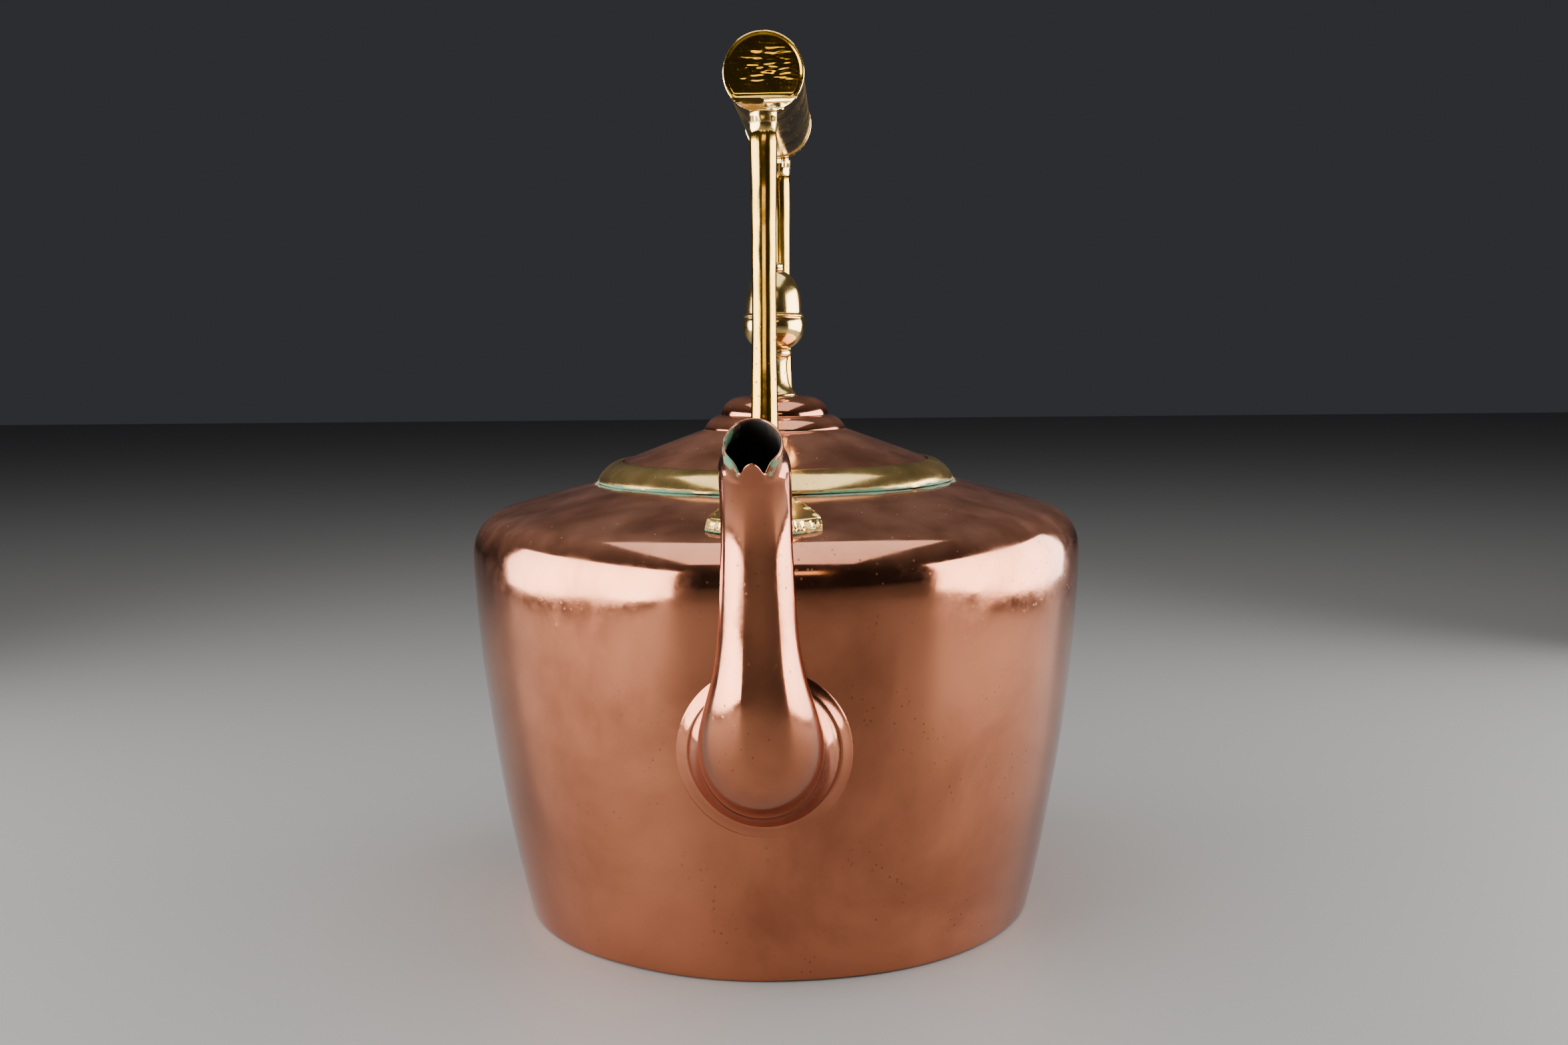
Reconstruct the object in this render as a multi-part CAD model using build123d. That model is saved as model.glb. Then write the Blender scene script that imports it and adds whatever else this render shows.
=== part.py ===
from build123d import *
import os
from math import atan2, cos, degrees, radians, sin, tan

# Copper kettle with a brass handle.  Millimetres, +Z up.
# The origin is the centre of the base's underside; the spout points towards -Y.
# Everything is symmetrical about the plane X = 0.

# --- body -------------------------------------------------------------------
BASE_RADIUS = 97.0          # outside of the wall where it meets the table
SHOULDER_RADIUS = 115.8     # wall and shoulder lines meet here before rounding
SHOULDER_HEIGHT = 148.3
SHOULDER_SLOPE = 15.0       # degrees, the shoulder's rise towards the neck
SHOULDER_ROUND = 16.0       # outside radius of the rounded shoulder
WALL_SWELL = 3.6            # how far the wall bows out from a straight taper
BODY_SHEET = 1.2            # copper sheet of the wall and shoulder
BASE_SHEET = 1.5
BASE_UPTURN = 7.0           # height of the base plate's flange inside the wall

# --- neck collar and lid ----------------------------------------------------
THROAT_RADIUS = 54.5        # bore of the collar's sleeve
THROAT_SHEET = 1.5
THROAT_DEPTH = 9.0          # sleeve below the shoulder's underside
LID_OVERHANG = 3.4          # lid's edge beyond the throat, over the seat
LID_GAP = 0.4               # radial clearance of the lid in the collar
LID_SEAT_DEPTH = 1.3        # rebate in the collar that the lid's edge sits in
SEAT_GAP = 0.2              # clearance under the lid's edge
LID_SHEET = 1.0
LID_SLOPE = 20.2            # degrees
COLLAR_LAND = 1.3           # flat top of the collar outside the lid
COLLAR_WIDTH = 8.4          # collar's round, seen from above
COLLAR_LIP = 0.6            # upright edge at the collar's foot
COLLAR_RISE = 8.4           # top of the collar above its foot
COLLAR_BULGE = 2.1          # height of the collar's round over its chord
LOWER_STEP_RADIUS = 26.8
LOWER_STEP_RISE = 5.2
UPPER_STEP_RADIUS = 20.4
UPPER_STEP_RISE = 7.0
LID_TOP_RADIUS = 12.4
STEP_LEDGE = 0.8            # width of the ledge between two steps
STEP_BULGE = 1.5            # height of each step's round over its chord
SKIRT_SHEET = 1.0
SKIRT_DEPTH = 15.0          # lid skirt below the lid's edge

# --- finial -----------------------------------------------------------------
FINIAL_FOOT_RADIUS = 8.2
FINIAL_WAIST_RADIUS = 4.8
FINIAL_FOOT_HEIGHT = 2.0    # round flange at the stem's foot
FINIAL_FOOT_STEP = 1.6      # flange beyond the stem above it
WAIST_SHARE = 0.7           # thinnest place, as a share of the stem's height
WAIST_HOLLOW = 1.2          # depth of the curve down to the waist
STEM_FLARE = 0.6            # stem's top beyond its waist
STEM_HEIGHT = 15.0
STEM_RING_RADIUS = 6.6
STEM_RING_HEIGHT = 3.2
STEM_RING_ROUND = 0.32
CUP_WALL = 1.4              # cup beyond the acorn that it holds
CUP_HEIGHT = 12.8
CUP_FOOT_RADIUS = 6.0
CUP_WIDEST_SHARE = 0.6      # widest place, as a share of the cup's height
CUP_BULGE = 2.0
CUP_LIP_HEIGHT = 1.0        # thin rolled lip at the cup's top
CUP_LIP_INSET = 0.3
CUP_GROOVE = 0.7            # depth of the groove under the lip
ACORN_RADIUS = 10.5
ACORN_HEIGHT = 16.2
ACORN_UPRIGHT_SHARE = 0.3   # straight lower part, as a share of the height
ACORN_TOP_RADIUS = 4.4
ACORN_BULGE = 1.9
TIP_RADIUS = 3.9
TIP_HEIGHT = 3.4
TIP_NECK = 0.4              # depth of the groove under the tip
TIP_CROWN = 1.4             # tip's round, seen from above
STUD_RADIUS = 2.0
STUD_INTO_ACORN = 9.0
NUT_FLATS = 8.0             # across flats
NUT_HEIGHT = 3.2
WASHER_RADIUS = 7.0
WASHER_SHEET = 1.0
THREAD_BELOW_NUT = 1.6

# --- spout ------------------------------------------------------------------
SPOUT_ROOT_HEIGHT = 82.0
SPOUT_SHEET = 1.0
# One row for each section: distance out from the wall, height above the root,
# lean of the section's axis above level, half width and half depth.  The depth
# is always a little the larger, so that the sections' seams line up.
SPOUT_SECTIONS = (
    (-7.0, 0.6, -7.0, 26.0, 26.1),
    (1.2, 0.0, -6.0, 24.4, 24.5),
    (11.0, 2.2, 10.0, 19.8, 19.9),
    (16.5, 5.6, 27.0, 19.9, 20.0),
    (24.6, 18.0, 62.0, 17.6, 17.7),
    (27.2, 36.0, 81.0, 12.7, 12.8),
    (29.4, 68.0, 84.0, 10.8, 11.2),
    (31.4, 82.0, 77.0, 10.6, 11.2),
    (36.0, 93.0, 60.0, 10.6, 11.2),
    (44.0, 101.5, 44.0, 8.9, 11.0),
    (52.0, 108.5, 40.0, 8.6, 10.8),
)
MOUTH_SECTION = -2          # the row that the mouth is cut near
MOUTH_ANGLE = 41.0          # degrees, slope of the mouth's rim
MOUTH_OFFSET = 0.8          # rim above the middle of its section
NOTCH_RADIUS = 2.2          # two notches leave a small beak between them
NOTCH_SPACING = 10.4
NOTCH_DROP = 2.2            # notch centres above the lowest point of the rim
SPOUT_COLLAR_FLANGE = 2.4   # saddle ring beyond the spout's root
SPOUT_COLLAR_THICKNESS = 1.6
SPOUT_HOLE_LAND = 2.9       # spout's root beyond the hole in the wall

# --- handle -----------------------------------------------------------------
FOOT_INSET = 29.8           # strut's axis inwards from the shoulder's corner
FOOT_HALF_WIDTH = 19.3
FOOT_THICKNESS = 3.4
FOOT_APEX = 15.0            # apex of the foot plate inwards from the strut
FOOT_TOE = 17.6             # foot plate's lower edge outwards from the strut
FOOT_WIDEST = 11.5          # widest place outwards from the strut
FOOT_FLANK_WIDTH = 0.62     # middle of the flank: share of the half width
FOOT_FLANK_HEIGHT = 0.22    # and share of the apex's distance
RIVET_RADIUS = 2.2
RIVET_HEAD_RADIUS = 4.2
RIVET_HEAD_HEIGHT = 1.8
RIVET_INNER = 9.4           # rivets inwards and outwards from the strut
RIVET_OUTER = 11.0
STRUT_FOOT_RADIUS = 5.2
STRUT_WAIST_RADIUS = 4.2
STRUT_TOP_RADIUS = 4.9
STRUT_SECTIONS = 9
STRUT_BEND = 0.45           # how long the strut stays upright at each end
GRIP_RISE = 147.2           # grip's axis above the shoulder under the strut
GRIP_RADIUS = 13.3
GRIP_HALF_LENGTH = 65.0     # to the flat end faces
GRIP_SHEET = 1.2
GRIP_END_LIP = 0.5          # end piece's edge beyond the tube
GRIP_END_THICKNESS = 5.0
GRIP_SPIGOT = 7.0           # length of the end's spigot inside the tube
NECK_OFFSET = 4.6           # strut axis outwards from the grip's end face
COVE_HEIGHT = 5.6           # curved foot of the end face, above the end's edge
NECK_HEIGHT = 0.8           # neck's shoulder below the end's edge
NECK_LENGTH = 3.5           # joint with the strut below the end's edge
NECK_LAP = 1.0              # neck's rod inside the end piece
COVE_REACH = 0.28           # middle of the cove: share of its way outwards
COVE_FALL = 0.72            # and share of its way down
JAW_TOP_INSET = 1.1         # end piece's taper: half width inside its edge
JAW_TOP_HEIGHT = 8.4        # and height above the edge's lowest point
JAW_MIDDLE_INSET = 5.4
JAW_MIDDLE_HEIGHT = 2.0
OVERSIZE = 400.0            # longer than the kettle, for cutting tools


def shoulder_z(radius, inset=0.0):
    # height of the shoulder's cone, moved inwards through the sheet by inset
    slope = radians(SHOULDER_SLOPE)
    rise = (SHOULDER_RADIUS - radius) * tan(slope)
    return SHOULDER_HEIGHT + rise - inset / cos(slope)


def wall_radius(height):
    # outside of the wall, whose shallow bow is close to a parabola
    share = height / SHOULDER_HEIGHT
    straight = BASE_RADIUS + (SHOULDER_RADIUS - BASE_RADIUS) * share
    return straight + 4 * WALL_SWELL * share * (1 - share)


def wall_lean(height):
    # degrees that the wall leans outwards at this height
    share = height / SHOULDER_HEIGHT
    spread = SHOULDER_RADIUS - BASE_RADIUS + 4 * WALL_SWELL * (1 - 2 * share)
    return degrees(atan2(spread, SHOULDER_HEIGHT))


def body_solid(inset=0.0):
    # the whole body as a turned solid, its skin moved inwards by inset
    corner_radius = SHOULDER_RADIUS - inset
    corner_height = shoulder_z(corner_radius, inset)
    base = (BASE_RADIUS - inset, 0)
    corner = (corner_radius, corner_height)
    middle = ((base[0] + corner[0]) / 2 + WALL_SWELL, corner[1] / 2)
    outline = Curve() + [
        Line((0, 0), base),
        ThreePointArc(base, middle, corner),
        Line(corner, (0, shoulder_z(0, inset))),
        Line((0, shoulder_z(0, inset)), (0, 0)),
    ]
    face = make_face(Plane.XZ * outline)
    rounded = face.vertices().sort_by(Axis.X)[-1]
    face = fillet(rounded, SHOULDER_ROUND - inset)
    return revolve(face, Axis.Z)


def turned(points):
    # solid of revolution from a closed outline of (radius, height) points;
    # a row of three numbers is a round that bulges out by the third number
    edges = []
    corners = list(points) + [points[0]]
    for start, end in zip(corners, corners[1:]):
        bulge = end[2] if len(end) > 2 else 0.0
        first = Vector(start[0], 0, start[1])
        last = Vector(end[0], 0, end[1])
        if bulge == 0.0:
            edges.append(Line(first, last))
            continue
        along = last - first
        across = Vector(along.Z, 0, -along.X).normalized() * bulge
        edges.append(ThreePointArc(first, (first + last) / 2 + across, last))
    return revolve(make_face(edges), Axis.Z)


def rod(radius, low, high):
    return Pos(0, 0, low) * Cylinder(radius, high - low, align=(Align.CENTER, Align.CENTER, Align.MIN))


def rear(piece):
    return piece.mirror(Plane.XZ)


# --- sizes and levels that several pieces share -------------------------------
LID_RADIUS = THROAT_RADIUS + LID_OVERHANG
SLEEVE_RADIUS = THROAT_RADIUS + THROAT_SHEET
COLLAR_TOP_RADIUS = LID_RADIUS + LID_GAP + COLLAR_LAND
COLLAR_RADIUS = COLLAR_TOP_RADIUS + COLLAR_WIDTH
CUP_RADIUS = ACORN_RADIUS + CUP_WALL
SPOUT_ROOT_RADIUS = SPOUT_SECTIONS[1][3]
SPOUT_COLLAR_RADIUS = SPOUT_ROOT_RADIUS + SPOUT_COLLAR_FLANGE
SPOUT_HOLE_RADIUS = SPOUT_ROOT_RADIUS - SPOUT_HOLE_LAND
FOOT_RADIUS = SHOULDER_RADIUS - FOOT_INSET
GRIP_END_RADIUS = GRIP_RADIUS + GRIP_END_LIP
COVE_TOP = GRIP_END_RADIUS - COVE_HEIGHT
COVE_FOOT = GRIP_END_RADIUS + NECK_HEIGHT
NECK_DROP = GRIP_END_RADIUS + NECK_LENGTH
COLLAR_FOOT_Z = shoulder_z(COLLAR_RADIUS)
COLLAR_TOP_Z = COLLAR_FOOT_Z + COLLAR_RISE
SEAT_Z = COLLAR_TOP_Z - LID_SEAT_DEPTH
LID_EDGE_Z = SEAT_Z + SEAT_GAP
LOWER_STEP_Z = LID_EDGE_Z + LID_SHEET + (LID_RADIUS - LOWER_STEP_RADIUS) * tan(radians(LID_SLOPE))
UPPER_STEP_Z = LOWER_STEP_Z + LOWER_STEP_RISE
LID_TOP_Z = UPPER_STEP_Z + UPPER_STEP_RISE
STEM_TOP_Z = LID_TOP_Z + STEM_HEIGHT
CUP_BASE_Z = STEM_TOP_Z + STEM_RING_HEIGHT
CUP_TOP_Z = CUP_BASE_Z + CUP_HEIGHT
ACORN_TOP_Z = CUP_TOP_Z + ACORN_HEIGHT
GRIP_Z = shoulder_z(FOOT_RADIUS) + GRIP_RISE
STRUT_TOP_Z = GRIP_Z - NECK_DROP
STRUT_TOP_Y = GRIP_HALF_LENGTH + NECK_OFFSET


def spout_point(out, up):
    return Vector(0, -wall_radius(SPOUT_ROOT_HEIGHT) - out, SPOUT_ROOT_HEIGHT + up)


def spout_plane(out, up, lean):
    axis = Vector(0, -cos(radians(lean)), sin(radians(lean)))
    return Plane(origin=spout_point(out, up), x_dir=(1, 0, 0), z_dir=axis)


def spout_solid(inset=0.0):
    sections = []
    for out, up, lean, half_width, half_depth in SPOUT_SECTIONS:
        outline = Ellipse(half_width - inset, half_depth - inset)
        sections.append(spout_plane(out, up, lean) * outline)
    return loft(sections)


def mouth_cut():
    # all that lies above the slanting rim, and the two notches in its lower lip
    out, up, lean, half_width, half_depth = SPOUT_SECTIONS[MOUTH_SECTION]
    slope = radians(MOUTH_ANGLE)
    normal = Vector(0, -sin(slope), cos(slope))
    centre = spout_point(out, up) + normal * MOUTH_OFFSET
    rim = Plane(origin=centre, x_dir=(1, 0, 0), z_dir=normal)
    block = rim * Box(OVERSIZE / 4, OVERSIZE / 4, OVERSIZE / 8, align=(Align.CENTER, Align.CENTER, Align.MIN))
    lip = centre + Vector(0, -cos(slope), -sin(slope)) * half_depth
    for side in (-1, 1):
        place = Pos(side * NOTCH_SPACING / 2, lip.Y, lip.Z + NOTCH_DROP)
        block += place * Rot(90, 0, 0) * Cylinder(NOTCH_RADIUS, half_depth)
    return block


def spout():
    # the tube's root stands on the saddle ring
    tube = spout_solid() - spout_solid(SPOUT_SHEET)
    return tube - mouth_cut() - body_solid(-SPOUT_COLLAR_THICKNESS)


def spout_root_bar(radius):
    # round bar along the spout's root, from inside the body to outside it
    lean = wall_lean(SPOUT_ROOT_HEIGHT)
    return spout_plane(0, 0, -lean) * Cylinder(radius, SPOUT_COLLAR_RADIUS)


def spout_collar():
    # saddle-shaped copper ring that follows the wall under the spout's root
    skin = body_solid(-SPOUT_COLLAR_THICKNESS) - body_solid()
    return (skin & spout_root_bar(SPOUT_COLLAR_RADIUS)) - spout_root_bar(SPOUT_HOLE_RADIUS)


def body_shell():
    shell = body_solid() - body_solid(BODY_SHEET)
    shell -= rod(SLEEVE_RADIUS, SHOULDER_HEIGHT, OVERSIZE)
    shell -= spout_root_bar(SPOUT_HOLE_RADIUS)
    for hole in rivet_shanks():
        shell -= hole
        shell -= rear(hole)
    return shell


def base_plate():
    slab = rod(BASE_RADIUS, 0, BASE_UPTURN)
    plate = body_solid(BODY_SHEET) & slab
    hollow = body_solid(BODY_SHEET + BASE_SHEET) & rod(BASE_RADIUS, BASE_SHEET, OVERSIZE)
    return plate - hollow


def neck_collar():
    sleeve_foot = shoulder_z(SLEEVE_RADIUS, BODY_SHEET) - THROAT_DEPTH
    seat_radius = LID_RADIUS + LID_GAP
    return turned([
        (THROAT_RADIUS, sleeve_foot),
        (SLEEVE_RADIUS, sleeve_foot),
        (SLEEVE_RADIUS, shoulder_z(SLEEVE_RADIUS)),
        (COLLAR_RADIUS, COLLAR_FOOT_Z),
        (COLLAR_RADIUS, COLLAR_FOOT_Z + COLLAR_LIP),
        (COLLAR_TOP_RADIUS, COLLAR_TOP_Z, COLLAR_BULGE),
        (seat_radius, COLLAR_TOP_Z),
        (seat_radius, SEAT_Z),
        (THROAT_RADIUS, SEAT_Z),
    ])


def lid_outline(drop):
    # upper side of the lid from its edge to its middle, lowered by drop
    return [
        (LOWER_STEP_RADIUS, LOWER_STEP_Z - drop),
        (UPPER_STEP_RADIUS + STEP_LEDGE, UPPER_STEP_Z - drop, STEP_BULGE),
        (UPPER_STEP_RADIUS, UPPER_STEP_Z - drop),
        (LID_TOP_RADIUS, LID_TOP_Z - drop, STEP_BULGE),
    ]


def lid_dome():
    solid = turned([(0, LID_EDGE_Z), (LID_RADIUS, LID_EDGE_Z), (LID_RADIUS, LID_EDGE_Z + LID_SHEET)]
                   + lid_outline(0) + [(0, LID_TOP_Z)])
    # the hollow keeps a flat rim for the lid to rest on
    rim = THROAT_RADIUS - LID_GAP - SKIRT_SHEET
    rim_z = LID_EDGE_Z + (LID_RADIUS - rim) * tan(radians(LID_SLOPE))
    hollow = turned([(0, LID_EDGE_Z), (rim, LID_EDGE_Z), (rim, rim_z)]
                    + lid_outline(LID_SHEET) + [(0, LID_TOP_Z - LID_SHEET)])
    return solid - hollow - rod(STUD_RADIUS, LID_EDGE_Z, OVERSIZE)


def lid_skirt():
    outside = THROAT_RADIUS - LID_GAP
    return rod(outside, LID_EDGE_Z - SKIRT_DEPTH, LID_EDGE_Z) - rod(
        outside - SKIRT_SHEET, LID_EDGE_Z - SKIRT_DEPTH, LID_EDGE_Z)


def finial_stem():
    foot_z = LID_TOP_Z + FINIAL_FOOT_HEIGHT
    waist_z = LID_TOP_Z + STEM_HEIGHT * WAIST_SHARE
    ring_z = (STEM_TOP_Z + CUP_BASE_Z) / 2
    stem = turned([
        (0, LID_TOP_Z),
        (FINIAL_FOOT_RADIUS, LID_TOP_Z),
        (FINIAL_FOOT_RADIUS - FINIAL_FOOT_STEP, foot_z),
        (FINIAL_WAIST_RADIUS, waist_z, -WAIST_HOLLOW),
        (FINIAL_WAIST_RADIUS + STEM_FLARE, STEM_TOP_Z),
        (STEM_RING_RADIUS, ring_z, STEM_RING_ROUND),
        (CUP_FOOT_RADIUS, CUP_BASE_Z, STEM_RING_ROUND),
        (0, CUP_BASE_Z),
    ])
    return stem - rod(STUD_RADIUS, LID_TOP_Z, CUP_BASE_Z)


def finial_cup():
    # round bowl with a thin rolled lip
    lip_z = CUP_TOP_Z - CUP_LIP_HEIGHT
    widest_z = CUP_BASE_Z + CUP_HEIGHT * CUP_WIDEST_SHARE
    cup = turned([
        (0, CUP_BASE_Z),
        (CUP_FOOT_RADIUS, CUP_BASE_Z),
        (CUP_RADIUS, widest_z, CUP_BULGE),
        (CUP_RADIUS - CUP_GROOVE, lip_z),
        (CUP_RADIUS - CUP_LIP_INSET, CUP_TOP_Z),
        (0, CUP_TOP_Z),
    ])
    return cup - rod(STUD_RADIUS, CUP_BASE_Z, CUP_TOP_Z)


def finial_acorn():
    acorn = turned([
        (0, CUP_TOP_Z),
        (ACORN_RADIUS, CUP_TOP_Z),
        (ACORN_RADIUS, CUP_TOP_Z + ACORN_HEIGHT * ACORN_UPRIGHT_SHARE),
        (ACORN_TOP_RADIUS, ACORN_TOP_Z, ACORN_BULGE),
        (0, ACORN_TOP_Z),
    ])
    return acorn - rod(STUD_RADIUS, CUP_TOP_Z, CUP_TOP_Z + STUD_INTO_ACORN)


def finial_tip():
    return turned([
        (0, ACORN_TOP_Z),
        (TIP_RADIUS - TIP_NECK, ACORN_TOP_Z),
        (TIP_RADIUS, ACORN_TOP_Z + TIP_HEIGHT / 3),
        (TIP_RADIUS, ACORN_TOP_Z + TIP_HEIGHT * 2 / 3),
        (TIP_RADIUS - TIP_CROWN, ACORN_TOP_Z + TIP_HEIGHT, TIP_NECK),
        (0, ACORN_TOP_Z + TIP_HEIGHT),
    ])


WASHER_Z = LID_TOP_Z - LID_SHEET - WASHER_SHEET
NUT_Z = WASHER_Z - NUT_HEIGHT


def finial_stud():
    return rod(STUD_RADIUS, NUT_Z - THREAD_BELOW_NUT, CUP_TOP_Z + STUD_INTO_ACORN)


def lid_washer():
    top = WASHER_Z + WASHER_SHEET
    return rod(WASHER_RADIUS, WASHER_Z, top) - rod(STUD_RADIUS, WASHER_Z, top)


def lid_nut():
    hexagon = RegularPolygon(NUT_FLATS / 2, 6, major_radius=False)
    nut = extrude(Pos(0, 0, NUT_Z) * hexagon, NUT_HEIGHT)
    return nut - rod(STUD_RADIUS, NUT_Z, WASHER_Z)


def foot_plate():
    # shield of brass that lies on the shoulder, apex towards the lid
    apex = (0, -FOOT_RADIUS + FOOT_APEX)
    left = (-FOOT_HALF_WIDTH, -FOOT_RADIUS - FOOT_WIDEST)
    toe = (0, -FOOT_RADIUS - FOOT_TOE)
    right = (FOOT_HALF_WIDTH, -FOOT_RADIUS - FOOT_WIDEST)
    flank = (FOOT_HALF_WIDTH * FOOT_FLANK_WIDTH, -FOOT_RADIUS + FOOT_APEX * FOOT_FLANK_HEIGHT)
    outline = Curve() + [
        ThreePointArc(apex, (-flank[0], flank[1]), left),
        ThreePointArc(left, toe, right),
        ThreePointArc(right, flank, apex),
    ]
    floor = Pos(0, 0, SHOULDER_HEIGHT - SHOULDER_ROUND)
    prism = extrude(floor * make_face(outline), OVERSIZE)
    skin = body_solid(-FOOT_THICKNESS) - body_solid()
    plate = prism & skin
    for hole in rivet_shanks():
        plate -= hole
    return plate


def shoulder_plane(radius, inset):
    # plane on the front of the shoulder, with its normal out of the sheet
    slope = radians(SHOULDER_SLOPE)
    return Plane(origin=(0, -radius, shoulder_z(radius, inset)), x_dir=(1, 0, 0),
                 z_dir=(0, -sin(slope), cos(slope)))


def rivet_places():
    return (FOOT_RADIUS - RIVET_INNER, FOOT_RADIUS + RIVET_OUTER)


def rivet_shanks():
    # longer than the rivets, so that they also cut the rivets' holes
    length = 2 * (BODY_SHEET + FOOT_THICKNESS + RIVET_HEAD_HEIGHT)
    return [shoulder_plane(radius, 0) * Cylinder(RIVET_RADIUS, length)
            for radius in rivet_places()]


def foot_rivets():
    # filed flush outside, round heads inside
    rivets = Part()
    for radius, shank in zip(rivet_places(), rivet_shanks()):
        place = shoulder_plane(radius, BODY_SHEET + RIVET_HEAD_HEIGHT / 2)
        head = place * Cone(RIVET_RADIUS, RIVET_HEAD_RADIUS, RIVET_HEAD_HEIGHT)
        head = head & body_solid(BODY_SHEET)
        above_head = place * Cylinder(
            RIVET_RADIUS, OVERSIZE, align=(Align.CENTER, Align.CENTER, Align.MIN))
        rivets += (shank & above_head & body_solid(-FOOT_THICKNESS)) + head
    return rivets


def strut_radius(share):
    # thick at the foot and at the top, with a waist between them
    ends = STRUT_FOOT_RADIUS + (STRUT_TOP_RADIUS - STRUT_FOOT_RADIUS) * share
    waist = (STRUT_FOOT_RADIUS + STRUT_TOP_RADIUS) / 2 - STRUT_WAIST_RADIUS
    return ends - waist * 4 * share * (1 - share)


def strut():
    foot = Vector(0, -FOOT_RADIUS, shoulder_z(FOOT_RADIUS) - STRUT_FOOT_RADIUS)
    top = Vector(0, -STRUT_TOP_Y, STRUT_TOP_Z)
    rise = Vector(0, 0, (top.Z - foot.Z) * STRUT_BEND)
    path = Bezier(foot, foot + rise, top - rise, top)
    sections = []
    for step in range(STRUT_SECTIONS):
        share = step / (STRUT_SECTIONS - 1)
        plane = Plane(origin=path @ share, x_dir=(1, 0, 0), z_dir=path % share)
        sections.append(plane * Circle(strut_radius(share)))
    return loft(sections) - body_solid(-FOOT_THICKNESS)


def grip_tube():
    bar = Pos(0, 0, GRIP_Z) * Rot(90, 0, 0)
    length = 2 * (GRIP_HALF_LENGTH - GRIP_END_THICKNESS)
    return bar * Cylinder(GRIP_RADIUS, length) - bar * Cylinder(GRIP_RADIUS - GRIP_SHEET, length)


def grip_end():
    # flat-faced end cap whose lower part curves outwards into the strut's neck
    face_y = -GRIP_HALF_LENGTH
    back_y = face_y + GRIP_END_THICKNESS
    front_y = -STRUT_TOP_Y - STRUT_TOP_RADIUS
    top = (GRIP_END_RADIUS - JAW_TOP_INSET, JAW_TOP_HEIGHT - GRIP_END_RADIUS)
    middle = (GRIP_END_RADIUS - JAW_MIDDLE_INSET, JAW_MIDDLE_HEIGHT - GRIP_END_RADIUS)
    foot = (STRUT_TOP_RADIUS, -COVE_FOOT)
    right = [top, middle, foot]
    left = [(-width, height) for width, height in reversed(right)]
    jaw = Polygon(*right, *left, align=None)
    outline = Circle(GRIP_END_RADIUS) + jaw
    front = Plane(origin=(0, back_y, GRIP_Z), x_dir=(1, 0, 0), z_dir=(0, -1, 0))
    prism = extrude(front * outline, back_y - front_y)
    cove_y = face_y - (face_y - front_y) * COVE_REACH
    cove_z = -COVE_TOP - (COVE_FOOT - COVE_TOP) * COVE_FALL
    side = Curve() + [
        Line((back_y, GRIP_END_RADIUS), (face_y, GRIP_END_RADIUS)),
        Line((face_y, GRIP_END_RADIUS), (face_y, -COVE_TOP)),
        ThreePointArc((face_y, -COVE_TOP), (cove_y, cove_z), (front_y, -COVE_FOOT)),
        Line((front_y, -COVE_FOOT), (back_y, -COVE_FOOT)),
        Line((back_y, -COVE_FOOT), (back_y, GRIP_END_RADIUS)),
    ]
    upright = Plane(origin=(0, 0, GRIP_Z), x_dir=(0, 1, 0), z_dir=(1, 0, 0))
    profile = extrude(upright * make_face(side), GRIP_END_RADIUS, both=True)
    neck = Pos(0, -STRUT_TOP_Y, 0) * rod(STRUT_TOP_RADIUS, STRUT_TOP_Z, GRIP_Z - COVE_FOOT + NECK_LAP)
    spigot = Pos(0, back_y + GRIP_SPIGOT / 2, GRIP_Z) * Rot(90, 0, 0) * Cylinder(
        GRIP_RADIUS - GRIP_SHEET, GRIP_SPIGOT)
    return (prism & profile) + neck + spigot


PIECES = {
    "body_shell": body_shell,
    "base_plate": base_plate,
    "neck_collar": neck_collar,
    "spout": spout,
    "spout_collar": spout_collar,
    "grip_tube": grip_tube,
    "lid_dome": lid_dome,
    "lid_skirt": lid_skirt,
    "finial_stem": finial_stem,
    "finial_cup": finial_cup,
    "finial_acorn": finial_acorn,
    "finial_tip": finial_tip,
    "finial_stud": finial_stud,
    "lid_washer": lid_washer,
    "lid_nut": lid_nut,
}
MIRRORED_PIECES = {
    "foot_plate": foot_plate,
    "foot_rivets": foot_rivets,
    "strut": strut,
    "grip_end": grip_end,
}

os.makedirs("parts", exist_ok=True)
for name, make in PIECES.items():
    export_step(make(), f"parts/{name}.step")
for name, make in MIRRORED_PIECES.items():
    piece = make()
    export_step(piece, f"parts/{name}_front.step")
    export_step(rear(piece), f"parts/{name}_rear.step")
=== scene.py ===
import math
import bpy
from mathutils import Matrix, Vector, noise


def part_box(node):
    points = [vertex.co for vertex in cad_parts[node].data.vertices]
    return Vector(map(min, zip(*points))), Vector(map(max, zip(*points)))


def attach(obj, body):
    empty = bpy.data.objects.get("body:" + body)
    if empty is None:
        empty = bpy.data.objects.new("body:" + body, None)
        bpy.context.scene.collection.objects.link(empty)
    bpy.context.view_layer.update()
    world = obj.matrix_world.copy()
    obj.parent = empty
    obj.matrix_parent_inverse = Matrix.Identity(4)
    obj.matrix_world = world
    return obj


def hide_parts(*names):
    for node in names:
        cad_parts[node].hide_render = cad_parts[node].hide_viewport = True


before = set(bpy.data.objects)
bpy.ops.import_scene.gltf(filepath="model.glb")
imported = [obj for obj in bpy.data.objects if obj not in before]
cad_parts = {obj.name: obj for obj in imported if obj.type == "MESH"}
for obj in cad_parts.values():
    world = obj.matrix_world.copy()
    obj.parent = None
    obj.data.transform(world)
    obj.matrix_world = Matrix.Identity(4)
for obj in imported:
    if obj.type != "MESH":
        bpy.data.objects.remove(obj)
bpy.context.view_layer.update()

mm = 0.001
mergeDistance = 0.01 * mm
seedShift = (3.7, 1.9, 2.3)      # how far one seed moves the noise
print("frame loaded")


# small helpers for modelling

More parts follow.
